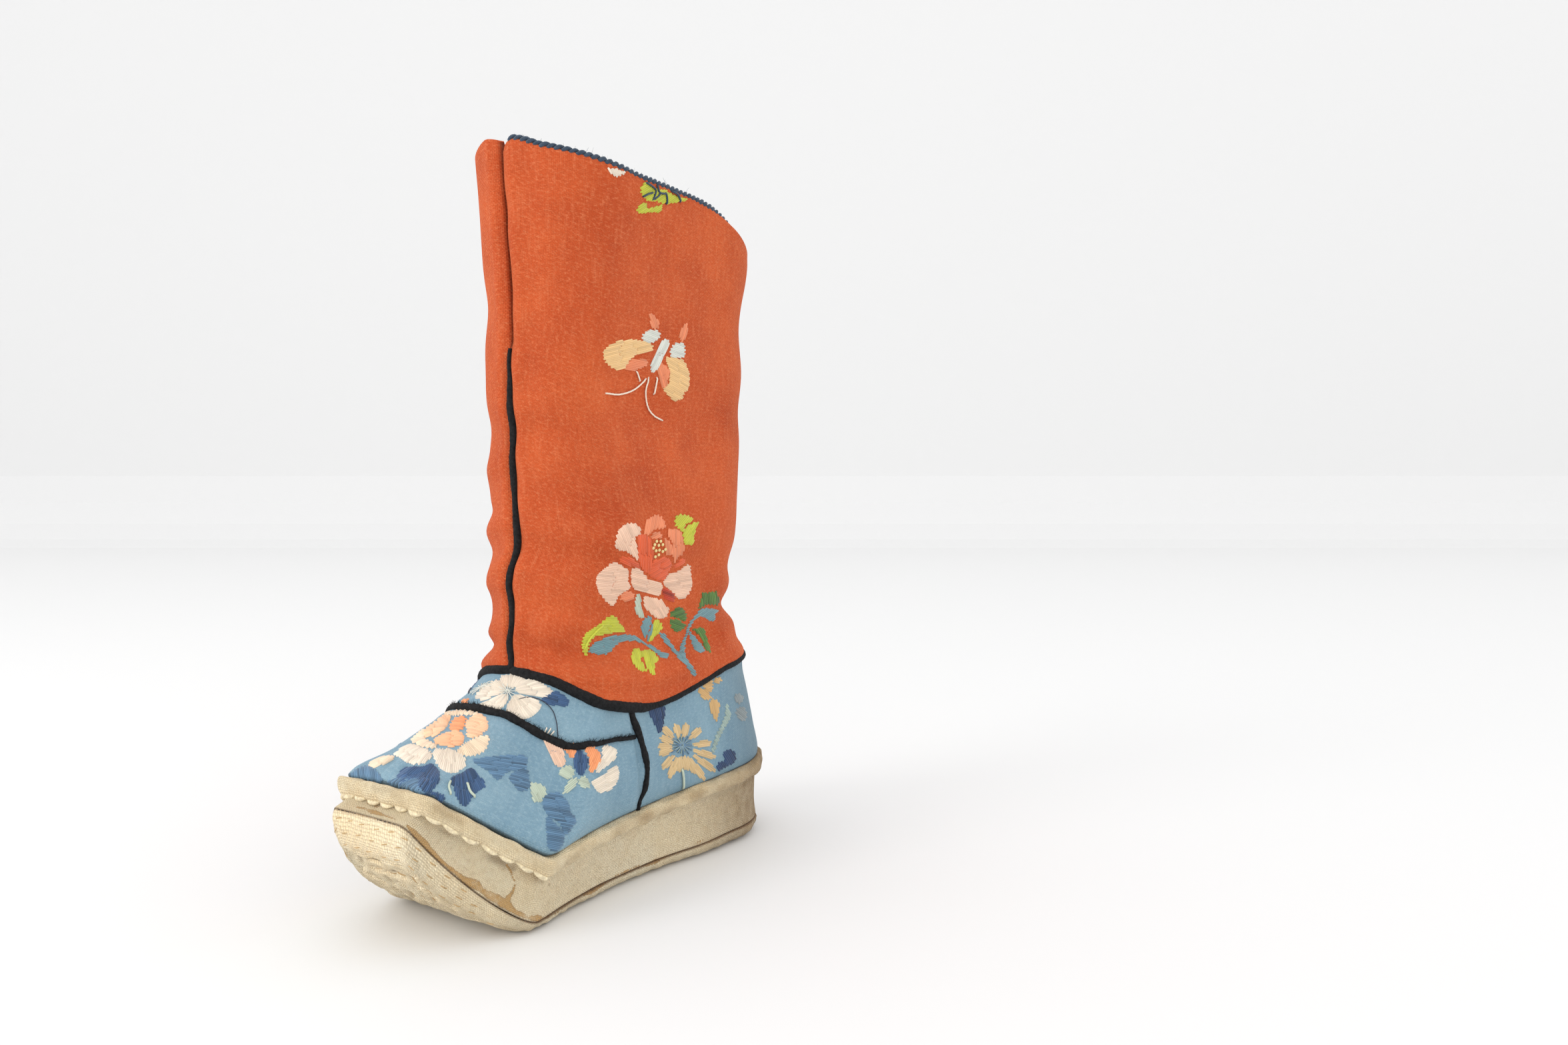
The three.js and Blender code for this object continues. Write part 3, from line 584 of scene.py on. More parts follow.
def silk(name, look):
    # woven silk: patches, pale flecks and streaks, dark gaps between the threads, grime, and painted shade in
    # the seam crease, along the bottom and at the heel, where it is partly soil
    material, tree, shader = newMaterial(name)
    cloth, place = clothOf(tree), placeOf(tree)
    weave = placeGroup(tree, weaveGroup, Cloth=cloth, Pitch=look["pitch"], Wander=0.35)
    patches = noise(tree, place, look["patchScale"], 4.0)
    flecks = noise(tree, stretched(tree, cloth, 0.8, 1.5), look["fleckScale"], 2.0, 0.8)
    colour = mixColour(tree, spread(tree, patches, 0.3, 0.7), look["deep"], look["colour"])
    fleck = times(tree, spread(tree, flecks, 0.5, 0.72), look["fleck"])
    streak = times(tree, spread(tree, weave["Streak"], 0.5, 0.7), look["streak"], clamp=True)
    hollows = maths(tree, "MAXIMUM", spread(tree, weave["Height"], 0.5, 0.0), spread(tree, flecks, 0.46, 0.3))
    between = times(tree, hollows, look["gapShade"], clamp=True)
    soil = placeGroup(tree, soilGroup, Object=place, Top=look["soilTop"], Amount=look["soil"])
    # painted shade from the pieces' marks, partly soil, joins the grime
    grimeAndShade = maths(tree, "MAXIMUM", soil[0], times(tree, attribute(tree, "shadeAndSoil"), 0.9), clamp=True)
    for mask, shade in ((fleck, "pale"), (streak, "pale"), (between, "deep"), (grimeAndShade, "grimeAndShade")):
        colour = mixColour(tree, mask, colour, look[shade])
    ribs = noise(tree, stretched(tree, cloth, 0.5, 3.4), 1.0, 2.0)
    ribbed = plus(tree, times(tree, ribs, 1.1), times(tree, flecks, 0.7))
    threads = plus(tree, times(tree, weave["Height"], 0.5), ribbed)
    fine = bump(tree, look["bump"], 0.0003, threads)
    fillSockets(tree, shader, {
        "Base Color": colour, "Roughness": plus(tree, times(tree, patches, 0.2), look["roughness"] - 0.1),
        "Sheen Weight": look["sheen"], "Sheen Roughness": 0.35, "Sheen Tint": look["pale"],
        "Specular IOR Level": look["specular"],
        "Normal": bump(tree, 0.5, 0.002, noise(tree, place, 60.0, 4.0), Normal=fine)})
    return material


def canvas(name, look):
    # coarse cotton canvas: gaps and slubs of the weave, grime and painted shade at the heel, glue with ragged
    # edges, and painted shade along the groove, under the welt and in the dimples
    material, tree, shader = newMaterial(name)
    cloth, place = clothOf(tree), placeOf(tree)
    weave = placeGroup(tree, weaveGroup, Cloth=cloth, Pitch=look["pitch"], Wander=0.6)
    patches = noise(tree, place, 70.0, 5.0)
    speck = noise(tree, place, 300.0, 4.0, 0.7)
    torn = noise(tree, place, 240.0, 4.0, 0.7)
    colour = mixColour(tree, spread(tree, patches, 0.3, 0.7), look["colour"], look["pale"])
    between = times(tree, spread(tree, weave["Height"], 0.55, 0.05), look["gapShade"], clamp=True)
    slub = times(tree, spread(tree, weave["Slub"], 0.52, 0.68), look["slub"], clamp=True)
    soil = placeGroup(tree, soilGroup, Object=place, Top=look["soilTop"], Amount=look["soil"])
    mottled = plus(tree, 0.6, times(tree, spread(tree, speck, 0.25, 0.7), 0.4))
    # this mark holds stains, and painted shade with some soil at the heel
    dirtAndShade = times(tree, attribute(tree, "dirtAndShade"), mottled, clamp=True)
    ragged = plus(tree, attribute(tree, "glue"), times(tree, maths(tree, "SUBTRACT", torn, 0.5), 1.1))
    glued = times(tree, spread(tree, ragged, 0.36, 0.56), spread(tree, torn, 0.1, 0.5), clamp=True)
    rimmed = times(tree, glued, spread(tree, ragged, 0.62, 0.46))
    # the seam colour darkens the glue's edges, and through the seam mark paints shade in the groove, the
    # dimples and under the welt
    for mask, shade in ((between, "shade"), (slub, "shade"), (maths(tree, "MAXIMUM", soil[0], dirtAndShade), "grimeAndShade"),
                        (times(tree, glued, 0.8), "glue"), (times(tree, rimmed, 0.6), "seam"),
                        (times(tree, attribute(tree, "seam"), 0.9, clamp=True), "seam")):
        colour = mixColour(tree, mask, colour, look[shade])
    threads = plus(tree, times(tree, weave["Height"], 0.8), times(tree, speck, look["rough"]))
    fillSockets(tree, shader, {
        "Base Color": colour, "Roughness": maths(tree, "SUBTRACT", 0.92, times(tree, glued, 0.35)),
        "Sheen Weight": 0.15, "Specular IOR Level": 0.25,
        "Normal": bump(tree, look["bump"], 0.0004, threads)})
    return material


def yarn(name, colour, roughness=0.8, sheen=0.2, variety=0.3, fuzz=0.6):
    # matt thread or felted cloth, mottled and rough at a fine scale
    material, tree, shader = newMaterial(name)
    grain = noise(tree, placeOf(tree), 900.0, 3.0, 0.7)
    dark = tuple(c * (1 - variety) for c in colour[:3]) + (1.0,)
    light = tuple(min(c * (1 + variety) + 0.01, 1) for c in colour[:3]) + (1.0,)
    fillSockets(tree, shader, {
        "Base Color": mixColour(tree, spread(tree, grain, 0.3, 0.7), dark, light), "Roughness": roughness,
        "Sheen Weight": sheen, "Specular IOR Level": 0.3, "Normal": bump(tree, fuzz, 0.0005, grain)})
    return material


def flossMaterial(name):
    # untwisted silk thread: its own tint per thread, and fine lines along it
    material, tree, shader = newMaterial(name)
    fibres = noise(tree, stretched(tree, clothOf(tree), 9.0, 0.5), 1.6)
    tint = attribute(tree, "tint", "Color")
    shaded = vectorMath(tree, "MULTIPLY", {0: tint, 1: (0.72, 0.7, 0.7)})
    lines = times(tree, spread(tree, fibres, 0.55, 0.3), 0.4, clamp=True)
    fillSockets(tree, shader, {
        "Base Color": mixColour(tree, lines, tint, shaded), "Roughness": 0.5, "Specular IOR Level": 0.4,
        "Sheen Weight": 0.15, "Normal": bump(tree, 0.5, 0.0002, fibres)})
    return material


# the grime colours are the colours of grime and also of the painted shade that the marks lay on
orangeSilk = silk("orange_silk", dict(
    colour=srgb(215, 97, 49), deep=srgb(186, 72, 31), pale=srgb(236, 142, 96), grimeAndShade=srgb(70, 26, 18),
    pitch=0.5, patchScale=38.0, fleckScale=0.9, fleck=0.5, streak=0.2, gapShade=0.45, soilTop=-0.2,
    soil=0.02, roughness=0.76, sheen=0.55, specular=0.2, bump=0.8))
blueSilk = silk("blue_silk", dict(
    colour=srgb(140, 171, 186), deep=srgb(113, 147, 167), pale=srgb(168, 193, 203), grimeAndShade=srgb(34, 42, 54),
    pitch=0.4, patchScale=42.0, fleckScale=0.95, fleck=0.45, streak=0.18, gapShade=0.4, soilTop=0.02,
    soil=0.04, roughness=0.6, sheen=0.35, specular=0.3, bump=0.6))
# seam: the colour of the glue's darker edges and of painted shade in the groove, the dimples and under the
# welt
canvasLook = dict(
    colour=srgb(247, 225, 184), pale=srgb(253, 240, 208), shade=srgb(196, 164, 116), grimeAndShade=srgb(138, 106, 66),
    glue=srgb(200, 150, 76), seam=srgb(122, 84, 42), pitch=0.5, gapShade=0.42, soilTop=0.012, soil=0.1,
    slub=0.32, bump=1.0, rough=0.5)
soleCanvas = canvas("sole_canvas", canvasLook)
weltCanvas = canvas("welt_canvas", dict(
    canvasLook, colour=srgb(238, 213, 168), pale=srgb(246, 232, 198), bump=0.9, soil=0.16, rough=1.6,
    gapShade=0.36, slub=0.3))
insoleCotton = canvas("insole_cotton", dict(
    canvasLook, colour=srgb(206, 196, 172), pale=srgb(220, 212, 192), soil=0.3))
liningCotton = canvas("lining_cotton", dict(
    canvasLook, colour=srgb(214, 204, 184), pale=srgb(228, 220, 202), soil=0.1))
blackCloth = yarn("black_piping", srgb(13, 13, 15), roughness=0.92, sheen=0.0, variety=0.5, fuzz=0.9)
navyCloth = yarn("navy_binding", srgb(50, 66, 84))
hemp = yarn("hemp_thread", srgb(232, 213, 178), fuzz=0.9)
print("materials made")


# Camera at the photograph's place, lights and floor

view = dict(place=(256.6, -261.3, 123.5), turn=0.599, dip=0.038, focal=1719, frameWidth=2352,
            frameHeight=1568, sensor=36)
camera = addThing("camera", bpy.data.cameras.new("camera"))
camera.location = Vector(view["place"]) * mm
camera.rotation_euler = (math.pi / 2 - view["dip"], 0, view["turn"])
camera.data.sensor_width = view["sensor"]
camera.data.lens = view["focal"] / view["frameWidth"] * view["sensor"]
camera.data.clip_start, camera.data.clip_end = 0.02, 20
bpy.context.scene.camera = camera
bpy.context.scene.view_settings.view_transform = "Standard"


def areaLight(name, place, size, power, colour=(1, 1, 1), aim=(0, 0, 0.09)):
    lamp = bpy.data.lights.new(name, "AREA")
    lamp.shape, lamp.size, lamp.energy, lamp.color = "DISK", size, power, colour
    holder = addThing(name, lamp)
    holder.location = place
    holder.rotation_euler = (Vector(aim) - Vector(place)).to_track_quat("-Z", "Y").to_euler()


# powers of the lights and the backdrop's grey; the backdrop's sizes are metres
studio = dict(world=1.15, key=2.7, fill=0.8, low=1.25, floor=0.82)
backdrop = dict(rows=60, near=-1.5, reach=3.4, level=0.8, bend=0.74, rise=24, half=3)
areaLight("key_light", (-0.35, -0.95, 0.75), 0.55, studio["key"], (1, 0.99, 0.97))
areaLight("fill_light", (0.9, -0.3, 0.5), 0.8, studio["fill"])
areaLight("low_light", (-0.5, -0.8, 0.12), 0.4, studio["low"], (1, 0.99, 0.97))
world = bpy.data.worlds.new("studio")
world.use_nodes = True
world.node_tree.nodes["Background"].inputs[0].default_value = (1, 1, 1, 1)
world.node_tree.nodes["Background"].inputs[1].default_value = studio["world"]
bpy.context.scene.world = world


def makeFloor():
    # a wide sheet that curves up behind the boot
    run = np.linspace(0, 1, backdrop["rows"])
    depth = backdrop["near"] + backdrop["reach"] * np.minimum(run / backdrop["level"], 1)
    rise = backdrop["rise"] * np.maximum(run - backdrop["bend"], 0) ** 2
    across, along = np.meshgrid(np.linspace(-backdrop["half"], backdrop["half"], 3), depth)
    yaw = view["turn"]
    x = across * math.cos(yaw) - along * math.sin(yaw)
    y = across * math.sin(yaw) + along * math.cos(yaw)
    points = np.stack([x, y, np.broadcast_to(rise[:, None], x.shape)], -1)
    material, tree, shader = newMaterial("studio_floor")
    fillSockets(tree, shader, {"Base Color": (studio["floor"],) * 3 + (1,), "Roughness": 0.9,
                               "Specular IOR Level": 0.1})
    mesh = bpy.data.meshes.new("floor")
    faces = gridFaces(*x.shape, closedColumns=False)
    mesh.from_pydata(points.reshape(-1, 3).tolist(), [], faces.tolist())
    mesh.materials.append(material)
    addThing("floor", mesh)


makeFloor()
print("camera, lights and floor set")


# Shaft

def crowded(t):  # more columns near the front seam
    return (1 - shaft["frontCrowding"]) * t + shaft["frontCrowding"] * t ** 2


shaftRing = np.arange(shaft["columns"]) / shaft["columns"] * 2
shaftAlong = crowded(np.where(shaftRing > 1, 2 - shaftRing, shaftRing))
shaftSide = np.where(shaftRing > 1, -1.0, 1.0)

# soft folds of the shaft: side (1 left, -1 right, 0 both), place along the half seam and height at
# both ends, width, and depth, inwards below zero
shaftFolds = [
    (0, 0.04, 75, 0.2, 71, 2.5, -0.7), (0, 0.02, 88, 0.14, 84, 3.2, -0.6),
    (0, 0.03, 98, 0.12, 93, 2.5, 0.5), (0, 0.03, 104, 0.24, 98, 4.0, -0.9),
    (0, 0.04, 122, 0.2, 112, 5.0, -0.6), (0, 0.03, 134, 0.16, 140, 5.0, -0.5),
    (0, 0.05, 68, 0.3, 62, 2.6, 0.8), (0, 0.1, 74, 0.36, 66, 2.2, -0.7), (-1, 0.02, 93, 0.16, 90, 2.2, 0.3),
    (-1, 0.02, 110, 0.14, 106, 2.6, 0.35), (-1, 0.03, 116, 0.2, 111, 2.4, -0.35),
    (-1, 0.02, 128, 0.18, 125, 3.0, 0.3), (1, 0.36, 62, 0.62, 64, 3.4, 0.9),
    (1, 0.42, 71, 0.7, 72, 3.0, -0.8), (1, 0.12, 82, 0.34, 76, 3.4, 0.6), (1, 0.99, 84, 0.7, 78, 4.0, -1.2),
    (1, 1.0, 76, 0.74, 71, 3.0, 0.8), (-1, 0.99, 86, 0.72, 92, 4.0, -1.0),
    (0, 1.0, 100, 0.82, 94, 4.5, -0.9), (1, 0.2, 70, 0.42, 64, 5.0, 0.5),
    (1, 0.3, 150, 0.75, 132, 9.0, -0.6), (1, 0.28, 118, 0.62, 108, 8.0, -0.5),
    (-1, 0.2, 130, 0.6, 112, 7.0, -0.8), (-1, 0.16, 112, 0.5, 92, 6.0, -0.6),
    (0, 0.9, 150, 0.62, 138, 8.0, -0.6), (0, 0.95, 180, 0.7, 168, 9.0, -0.5),
    (1, 0.1, 205, 0.24, 190, 8.0, -0.4), (-1, 0.12, 176, 0.4, 168, 7.0, -0.8),
    (-1, 0.3, 196, 0.6, 186, 8.0, -0.6), (1, 0.5, 92, 0.8, 102, 5.0, -0.6),
]


foldShape = dict(endFade=0.12, fadePower=0.7, rimDepth=0.35, rimPlace=1.6)


def foldHeight(s, z, side, folds, unitRun):
    # each fold is a ridge or trough: a bell across it with a fainter opposite one beside it, fading
    # out towards both of its ends
    total = np.zeros(np.broadcast(s, z).shape)
    for foldSide, startRun, startZ, endRun, endZ, width, depth in folds:
        start, end = np.array([startRun * unitRun, startZ]), np.array([endRun * unitRun, endZ])
        run = end - start
        inside = np.clip(((s - start[0]) * run[0] + (z - start[1]) * run[1]) / np.dot(run, run), 0, 1)
        away = np.hypot(s - start[0] - run[0] * inside, z - start[1] - run[1] * inside)
        fade = np.sin(np.pi * (foldShape["endFade"] + (1 - 2 * foldShape["endFade"]) * inside))
        ridge = bell(away, width) - foldShape["rimDepth"] * bell(away - foldShape["rimPlace"] * width, width)
        fade = fade ** foldShape["fadePower"]
        total += depth * ridge * fade * (1 if foldSide == 0 else (side == foldSide))
    return total


def makeShaftGrid():
    # the shaft's sections, pushed along their normals by folds, the front seam's lips and crease,
    # puckers beside it, slow unevenness and a flare at the ankle
    along, side = shaftAlong[None, :], shaftSide[None, :]
    rise = np.linspace(0, 1, shaft["rows"])[:, None]
    points = shaftPoint(along + 0 * rise, side + 0 * rise, rise, 0, shaft["gap"])
    z = points[..., 2]
    s = along * shaft["halfRun"]
    fold = foldHeight(s, z, side, shaftFolds, shaft["halfRun"])
    plain = smooth(shaft["pipingTop"] - 1, shaft["pipingTop"] + 3, z)
    crease = -2.2 * plain * bell(s, 0.5) - 0.3 * bell(s, 1.2)
    lips = 0.5 * bell(s - 3.4, 2.0) * (0.7 + 0.3 * np.sin(z * 0.33 + side)) * (1 + 0.6 * plain)
    lips = lips - 0.4 * bell(s - 8.5, 3.0) * (side > 0)
    puckers = 0.35 * bell(s, 8) * ripple(s / 40, z / 9, 3) * (1 - 0.6 * plain)
    uneven = 0.3 * ripple(along * 4 + (side > 0) * 3, z / 42, 5)
    flare = 0.9 * bell(z - ankleHeight(along) - 1, 3.0)
    push = (1.4 * fold + lips + puckers + uneven) * smooth(0, 0.03, rise)
    push = push * (0.35 + 0.65 * smooth(1.0, 0.97, rise))
    return points + gridNormals(points) * (push + crease + flare)[..., None]


shaftGrid = makeShaftGrid()


def shellGrid(outer, depthFrom, depthTo, topRows=6, innerStep=6):
    # a closed wall between two depths under a grid: outer face, rounded top edge, inner face
    normals = gridNormals(outer)
    level = levelled(normals[-1])
    wall = depthTo - depthFrom
    face, back = outer - normals * depthFrom, outer - normals * depthTo
    turn = np.linspace(0, np.pi, topRows + 2)[1:-1]
    centre = outer[-1] - level * (depthFrom + wall / 2)
    face[-1], back[-1] = centre + level * wall / 2, centre - level * wall / 2
    lip = [centre + level * wall / 2 * np.cos(a) + upwards * wall * 0.42 * np.sin(a) for a in turn]
    return np.concatenate([face, np.array(lip), back[::-1][::innerStep], back[:1]])


def silkPiece(name, outer, shadeAndSoil, material, topRows=6):
    # the wall under an outer grid; the marks of painted shade, partly soil, are on its outer face only
    wall = shellGrid(outer, 0, shaft["hem"], topRows)
    rest = np.zeros((len(wall) - len(shadeAndSoil), wall.shape[1]))
    marks = dict(shadeAndSoil=np.concatenate([shadeAndSoil, rest]))
    return gridObject(name, wall, material, closedRows=True, marks=marks)


def cleanMarks(points):
    return {mark: np.zeros(points.shape[:2]) for mark in ("dirtAndShade", "glue", "seam")}


def addLining(name, outer, topRows):
    wall = shellGrid(outer, shaft["hem"] + 0.05, shaft["wall"], topRows, innerStep=2)
    gridObject(name, wall, liningCotton, closedRows=True, marks=cleanMarks(wall))


# painted shade in the crease of the front seam, above the piping
seamCreaseShade = 0.95 * bell(shaftAlong * shaft["halfRun"], 0.55, 4)[None, :] * smooth(
    shaft["pipingTop"] - 3, shaft["pipingTop"], shaftGrid[..., 2])
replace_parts(silkPiece("silk_shaft", shaftGrid, seamCreaseShade, orangeSilk), "shaft")
liningRows = shaft["rows"] - int(shaft["liningStart"] / shaft["rowHeight"])
addLining("shaft_lining", shaftGrid[:liningRows:2, ::2], 3)


# Foot upper

# the vamp's seam: share of the half ring up to the side seam, and share of the way up to the ankle
vampSeam = np.array([(0, 0.69), (0.27, 0.68), (0.5, 0.655), (0.64, 0.665), (0.8, 0.715), (1, 0.71)])
# soft folds of the upper: side, ring millimetres and height at both ends, width and depth
upperFolds = [
    (1, 24, 52, 40, 50, 3.0, -0.35), (0, 62, 34, 80, 44, 4.0, -0.3), (1, 70, 46, 92, 52, 3.5, 0.3),
    (0, 120, 40, 150, 52, 5.0, -0.4), (-1, 30, 40, 56, 46, 4.0, -0.4), (0, 100, 36, 112, 50, 3.0, 0.3),
]
vampPad = dict(depth=2.9, up=0.46, high=0.27, wide=34)


def makeUpperGrid():
    # lines from the welt to the ankle, eased round the toe and pushed out by folds, the tucks beside
    # the seams, pleats low on the toe and the vamp's padding
    ringStep = evenSteps(upper["columns"])
    ups = 1 - (1 - np.linspace(0, 1, upper["rows"])) ** 1.05
    points = np.stack([upperPoint(ringStep, up) for up in ups])
    # the toe's corner dies out upwards: rows are evened round the ring, more at mid height
    share = (smooth(0.0, 0.3, ups) * smooth(1.0, 0.8, ups) * 0.9)[:, None, None]
    for _ in range(upper["easing"]):
        points += share * ((np.roll(points, 1, 1) + np.roll(points, -1, 1)) / 2 - points)
    normals = gridNormals(points)
    step, side = mirrored(ringStep)
    halfRun = runBothWays(points[0])[None, :]
    uneven = 0.2 * ripple(np.arange(len(ringStep))[None, :] / len(ringStep) * 7, ups[:, None] * 1.6, 11)
    uneven = uneven + foldHeight(halfRun, points[..., 2], side[None, :], upperFolds, 1)
    height = np.linalg.norm(np.diff(points, axis=0), axis=-1).sum(0)[None, :]
    seamUp = alongTable(*vampSeam.T, np.clip(step / upper["sideSeamStep"], 0, 1))[None, :]
    fromVamp = np.abs(ups[:, None] - seamUp) * height + 99 * (step > upper["sideSeamStep"])[None, :]
    sideAt = np.interp(upper["sideSeamStep"], step[:len(step) // 2], halfRun[0, :len(step) // 2])
    fromSeam = np.minimum(fromVamp, np.abs(halfRun - sideAt))
    tuck = -0.7 * bell(fromSeam, 1.6) + 0.3 * bell(fromSeam - 4.0, 2.2)
    bare = (smooth(0, 0.06, ups) * smooth(1, 0.93, ups))[:, None]
    pleats = np.sin(halfRun * 1.05 + 1.5 * np.sin(halfRun * 0.3)) * smooth(22, 14, halfRun)
    uneven = uneven + 0.4 * pleats * bell(ups - 0.1, 0.09)[:, None]
    padded = vampPad["depth"] * bell(ups - vampPad["up"], vampPad["high"])[:, None]
    padded = padded * bell(halfRun, vampPad["wide"], 4)
    return points + normals * ((uneven + tuck + padded) * bare)[..., None], ringStep, ups


upperGrid, upperStep, upperUps = makeUpperGrid()
# painted shade along the bottom where the upper meets the welt, and towards the heel painted shade with some
# soil
lowShade = 0.9 * smooth(0.016, 0.006, upperUps)[:, None]
heelShade = 0.5 * smooth(rear - 52, rear - 16, upperGrid[..., 1])
upperPiece = silkPiece("silk_foot_upper", upperGrid, lowShade + heelShade, blueSilk, topRows=4)
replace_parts(upperPiece, "foot_upper")
addLining("upper_lining", upperGrid[::2, ::2], 2)
print("shaft and foot upper made")

clothTree = treeOf((shaftGrid, False), (upperGrid, False))


# Sole

sole = dict(columns=640, insetFlat=4.2, roll=2.0, hollow=1.1, seat=5.2, insoleThickness=4.6, insoleBevel=1,
            gap=0.3, fillRows=46, rollRows=20, wallRows=56, weltRows=40)
scallop = dict(width=6.0, drop=0.5, proud=0.35, roll=5.3, thin=4.3, slope=6.4, slopeMiddle=12, slopeReach=9)
soleSteps = evenSteps(sole["columns"])
# the groove between outsole and wall rises and falls a little, the same on both sides
soleColumns = np.arange(sole["columns"])
grooveWave = 0.45 * ripple(np.minimum(soleColumns, sole["columns"] - soleColumns) / 55, 0, 27, 8)


def outsoleRing(inset, heightAt):
    return soleRing(soleSteps, heightAt, grow=-last["outsoleInset"] - inset,
                    heelGrow=-last["outsoleInsetAtHeel"] - inset,
                    lean=last["toeOverhang"] + last["outsoleInset"])


def fillRing(ring, rows):
    # rings that shrink a closed ring onto its middle line, from side to side
    opposite = ring[(len(ring) - np.arange(len(ring))) % len(ring)]
    middle = (ring + opposite) / 2
    return [ring + (middle - ring) * t for t in np.linspace(0, 1, rows + 1)[1:]]


cameraTurn = np.array(camera.rotation_euler.to_matrix())
cameraPlace = np.array(view["place"])


def castPixels(pixels, tree, side=1):
    # where the photograph's pixels meet a surface; side -1 mirrors them onto the wearer's right
    pixels = np.asarray(pixels, float)
    x = (pixels[..., 0] - view["frameWidth"] / 2) / view["focal"]
    y = (view["frameHeight"] / 2 - pixels[..., 1]) / view["focal"]
    rays = (unit(np.stack([x, y, -np.ones_like(x)], -1) @ cameraTurn.T) * [side, 1, 1]).reshape(-1, 3)
    origin = Vector(cameraPlace * [side, 1, 1])
    place, normal = np.full(rays.shape, np.nan), np.zeros(rays.shape)
    for k, ray in enumerate(rays):
        hit = tree.ray_cast(origin, Vector(ray))
        if hit[0] is not None:
            place[k] = hit[0]
            normal[k] = hit[1] if hit[1].dot(Vector(ray)) < 0 else -hit[1]
    return place.reshape(pixels.shape[:-1] + (3,)), normal.reshape(pixels.shape[:-1] + (3,))


# stains: strength, and a stroke of the photograph's pixels with half its width there in millimetres
glueStrokes = [
    (0.9, [(612, 1240, 0.8), (622, 1250, 1.0), (634, 1262, 1.3), (646, 1276, 1.1), (662, 1292, 0.7),
     (684, 1310, 0.8), (700, 1322, 1.4), (712, 1326, 1.9), (726, 1338, 1.3), (742, 1347, 2.2),
     (758, 1357, 1.6), (775, 1369, 1.0), (792, 1376, 1.2), (806, 1378, 1.3), (826, 1374, 0.5),
     (850, 1360, 0.3)]),
    (0.8, [(760, 1298, 0.5), (768, 1312, 0.6), (772, 1326, 0.5), (768, 1340, 0.8), (760, 1350, 1.3)]),
    (0.85, [(536, 1211, 0.6), (548, 1214, 1.0), (562, 1219, 1.2), (578, 1224, 0.7), (592, 1229, 0.4)]),
    (0.75, [(876, 1343, 0.6), (886, 1338, 1.2), (898, 1331, 1.0), (912, 1322, 0.4)]),
    (0.8, [(924, 1314, 0.7), (940, 1307, 0.9), (956, 1301, 1.2), (972, 1297, 1.0), (988, 1290, 1.2),
     (1003, 1283, 0.7)]),
    (0.7, [(918, 1301, 0.25), (918, 1315, 0.3)]),
    (0.6, [(1038, 1267, 0.5), (1048, 1263, 0.9), (1062, 1258, 0.5)]),
]
soleDirt = [
    (0.7, [(738, 1286, 1.8), (752, 1294, 1.5), (768, 1303, 1.6)]),
    (0.4, [(792, 1308, 2.2), (812, 1322, 1.6)]),
    (0.7, [(823, 1327, 0.45), (825, 1328, 0.45)]),
    (0.35, [(850, 1296, 2.6), (866, 1286, 2.0)]),
    (0.25, [(640, 1348, 3.5), (690, 1372, 3.0)]),
    (0.3, [(604, 1336, 2.5), (618, 1345, 2.0)]),
    (0.5, [(662, 1246, 0.8), (676, 1254, 0.7)]),
    (0.3, [(1080, 1256, 3.0), (1110, 1244, 3.5)]),
    (0.3, [(560, 1180, 1.6), (600, 1192, 1.8)]),
    (0.35, [(655, 1212, 1.8), (690, 1232, 1.6)]),
]
stain = dict(pitch=4.0, reach=2.4, softness=0.76, farShift=[0, 2.5, 0.4])


def stainMarks(points, strokes, tree):
    # the strongest of the bells along the strokes, the same a little shifted on the other side
    flat = points.reshape(-1, 3)
    total = np.zeros(len(flat))
    for strength, stroke in strokes:
        path = evenPath(stroke, stain["pitch"])
        places, _ = castPixels(path[:, :2], tree)
        for place, half in zip(places, path[:, 2]):
            if np.isnan(place).any():
                continue
            for side, shift in ((1, [0, 0, 0]), (-1, stain["farShift"])):
                offset = flat * [side, 1, 1] - place - shift
                near = np.abs(offset[:, 1]) < half * stain["reach"]
                away = np.linalg.norm(offset[near], axis=1)
                total[near] = np.maximum(total[near], strength * bell(away / half, stain["softness"]))
    return total.reshape(points.shape[:-1])


def sweepRun(y):
    # length along the middle of the underside, from the toe backwards
    line = np.linspace(front - 1, rear + 1, 1200)
    run = np.concatenate([[0], np.cumsum(np.hypot(np.diff(line), np.diff(outsoleBottom(line))))])
    return np.interp(y, line, run)


quilting = dict(
    along=11.0, across=2.7, first=5, columns=11, xJitter=0.9, runJitter=1.5, turnJitter=0.45, stitch=3.3,
    end=78, depth=0.9, dimpleWidth=1.3, dimpleEnd=1.2, deepest=1.2, xReach=4, runReach=5, bow=0.45,
    threadRadius=0.2, edgeRows=(0.8, 0.52, 0.24), edgeReach=40, edgePitch=5.4, edgeStitch=3.0,
    edgeRadius=0.14,
)


def stitchPlaces():
    # staggered short stitches over the underside: place, and direction along the nearest edge
    def jitter(name):
        return rng.uniform(-quilting[name], quilting[name])

    places = []
    for row in range(int(quilting["end"] / quilting["along"] * 2)):
        runAt = quilting["first"] + row * quilting["along"] / 2
        for column in range(-quilting["columns"], quilting["columns"] + 1):
            if (row + column) % 2 == 0:
                x = column * quilting["across"] + jitter("xJitter")
                run = runAt + jitter("runJitter")
                toSide = last["toeWidth"] / 2 + 0.33 * run - abs(x)
                turn = math.pi / 2 * smooth(-3, 3, run - toSide) + jitter("turnJitter")
                places.append((x, run, math.cos(turn), math.sin(turn) * (1 if x > 0 else -1)))
    return np.array(places)


stitchTable = stitchPlaces()


def quiltShare(y):  # the dimples flatten out where the boot stands
    return 0.25 + 0.75 * smooth(last["toeSpring"] + 14, last["toeSpring"] - 4, y - front)


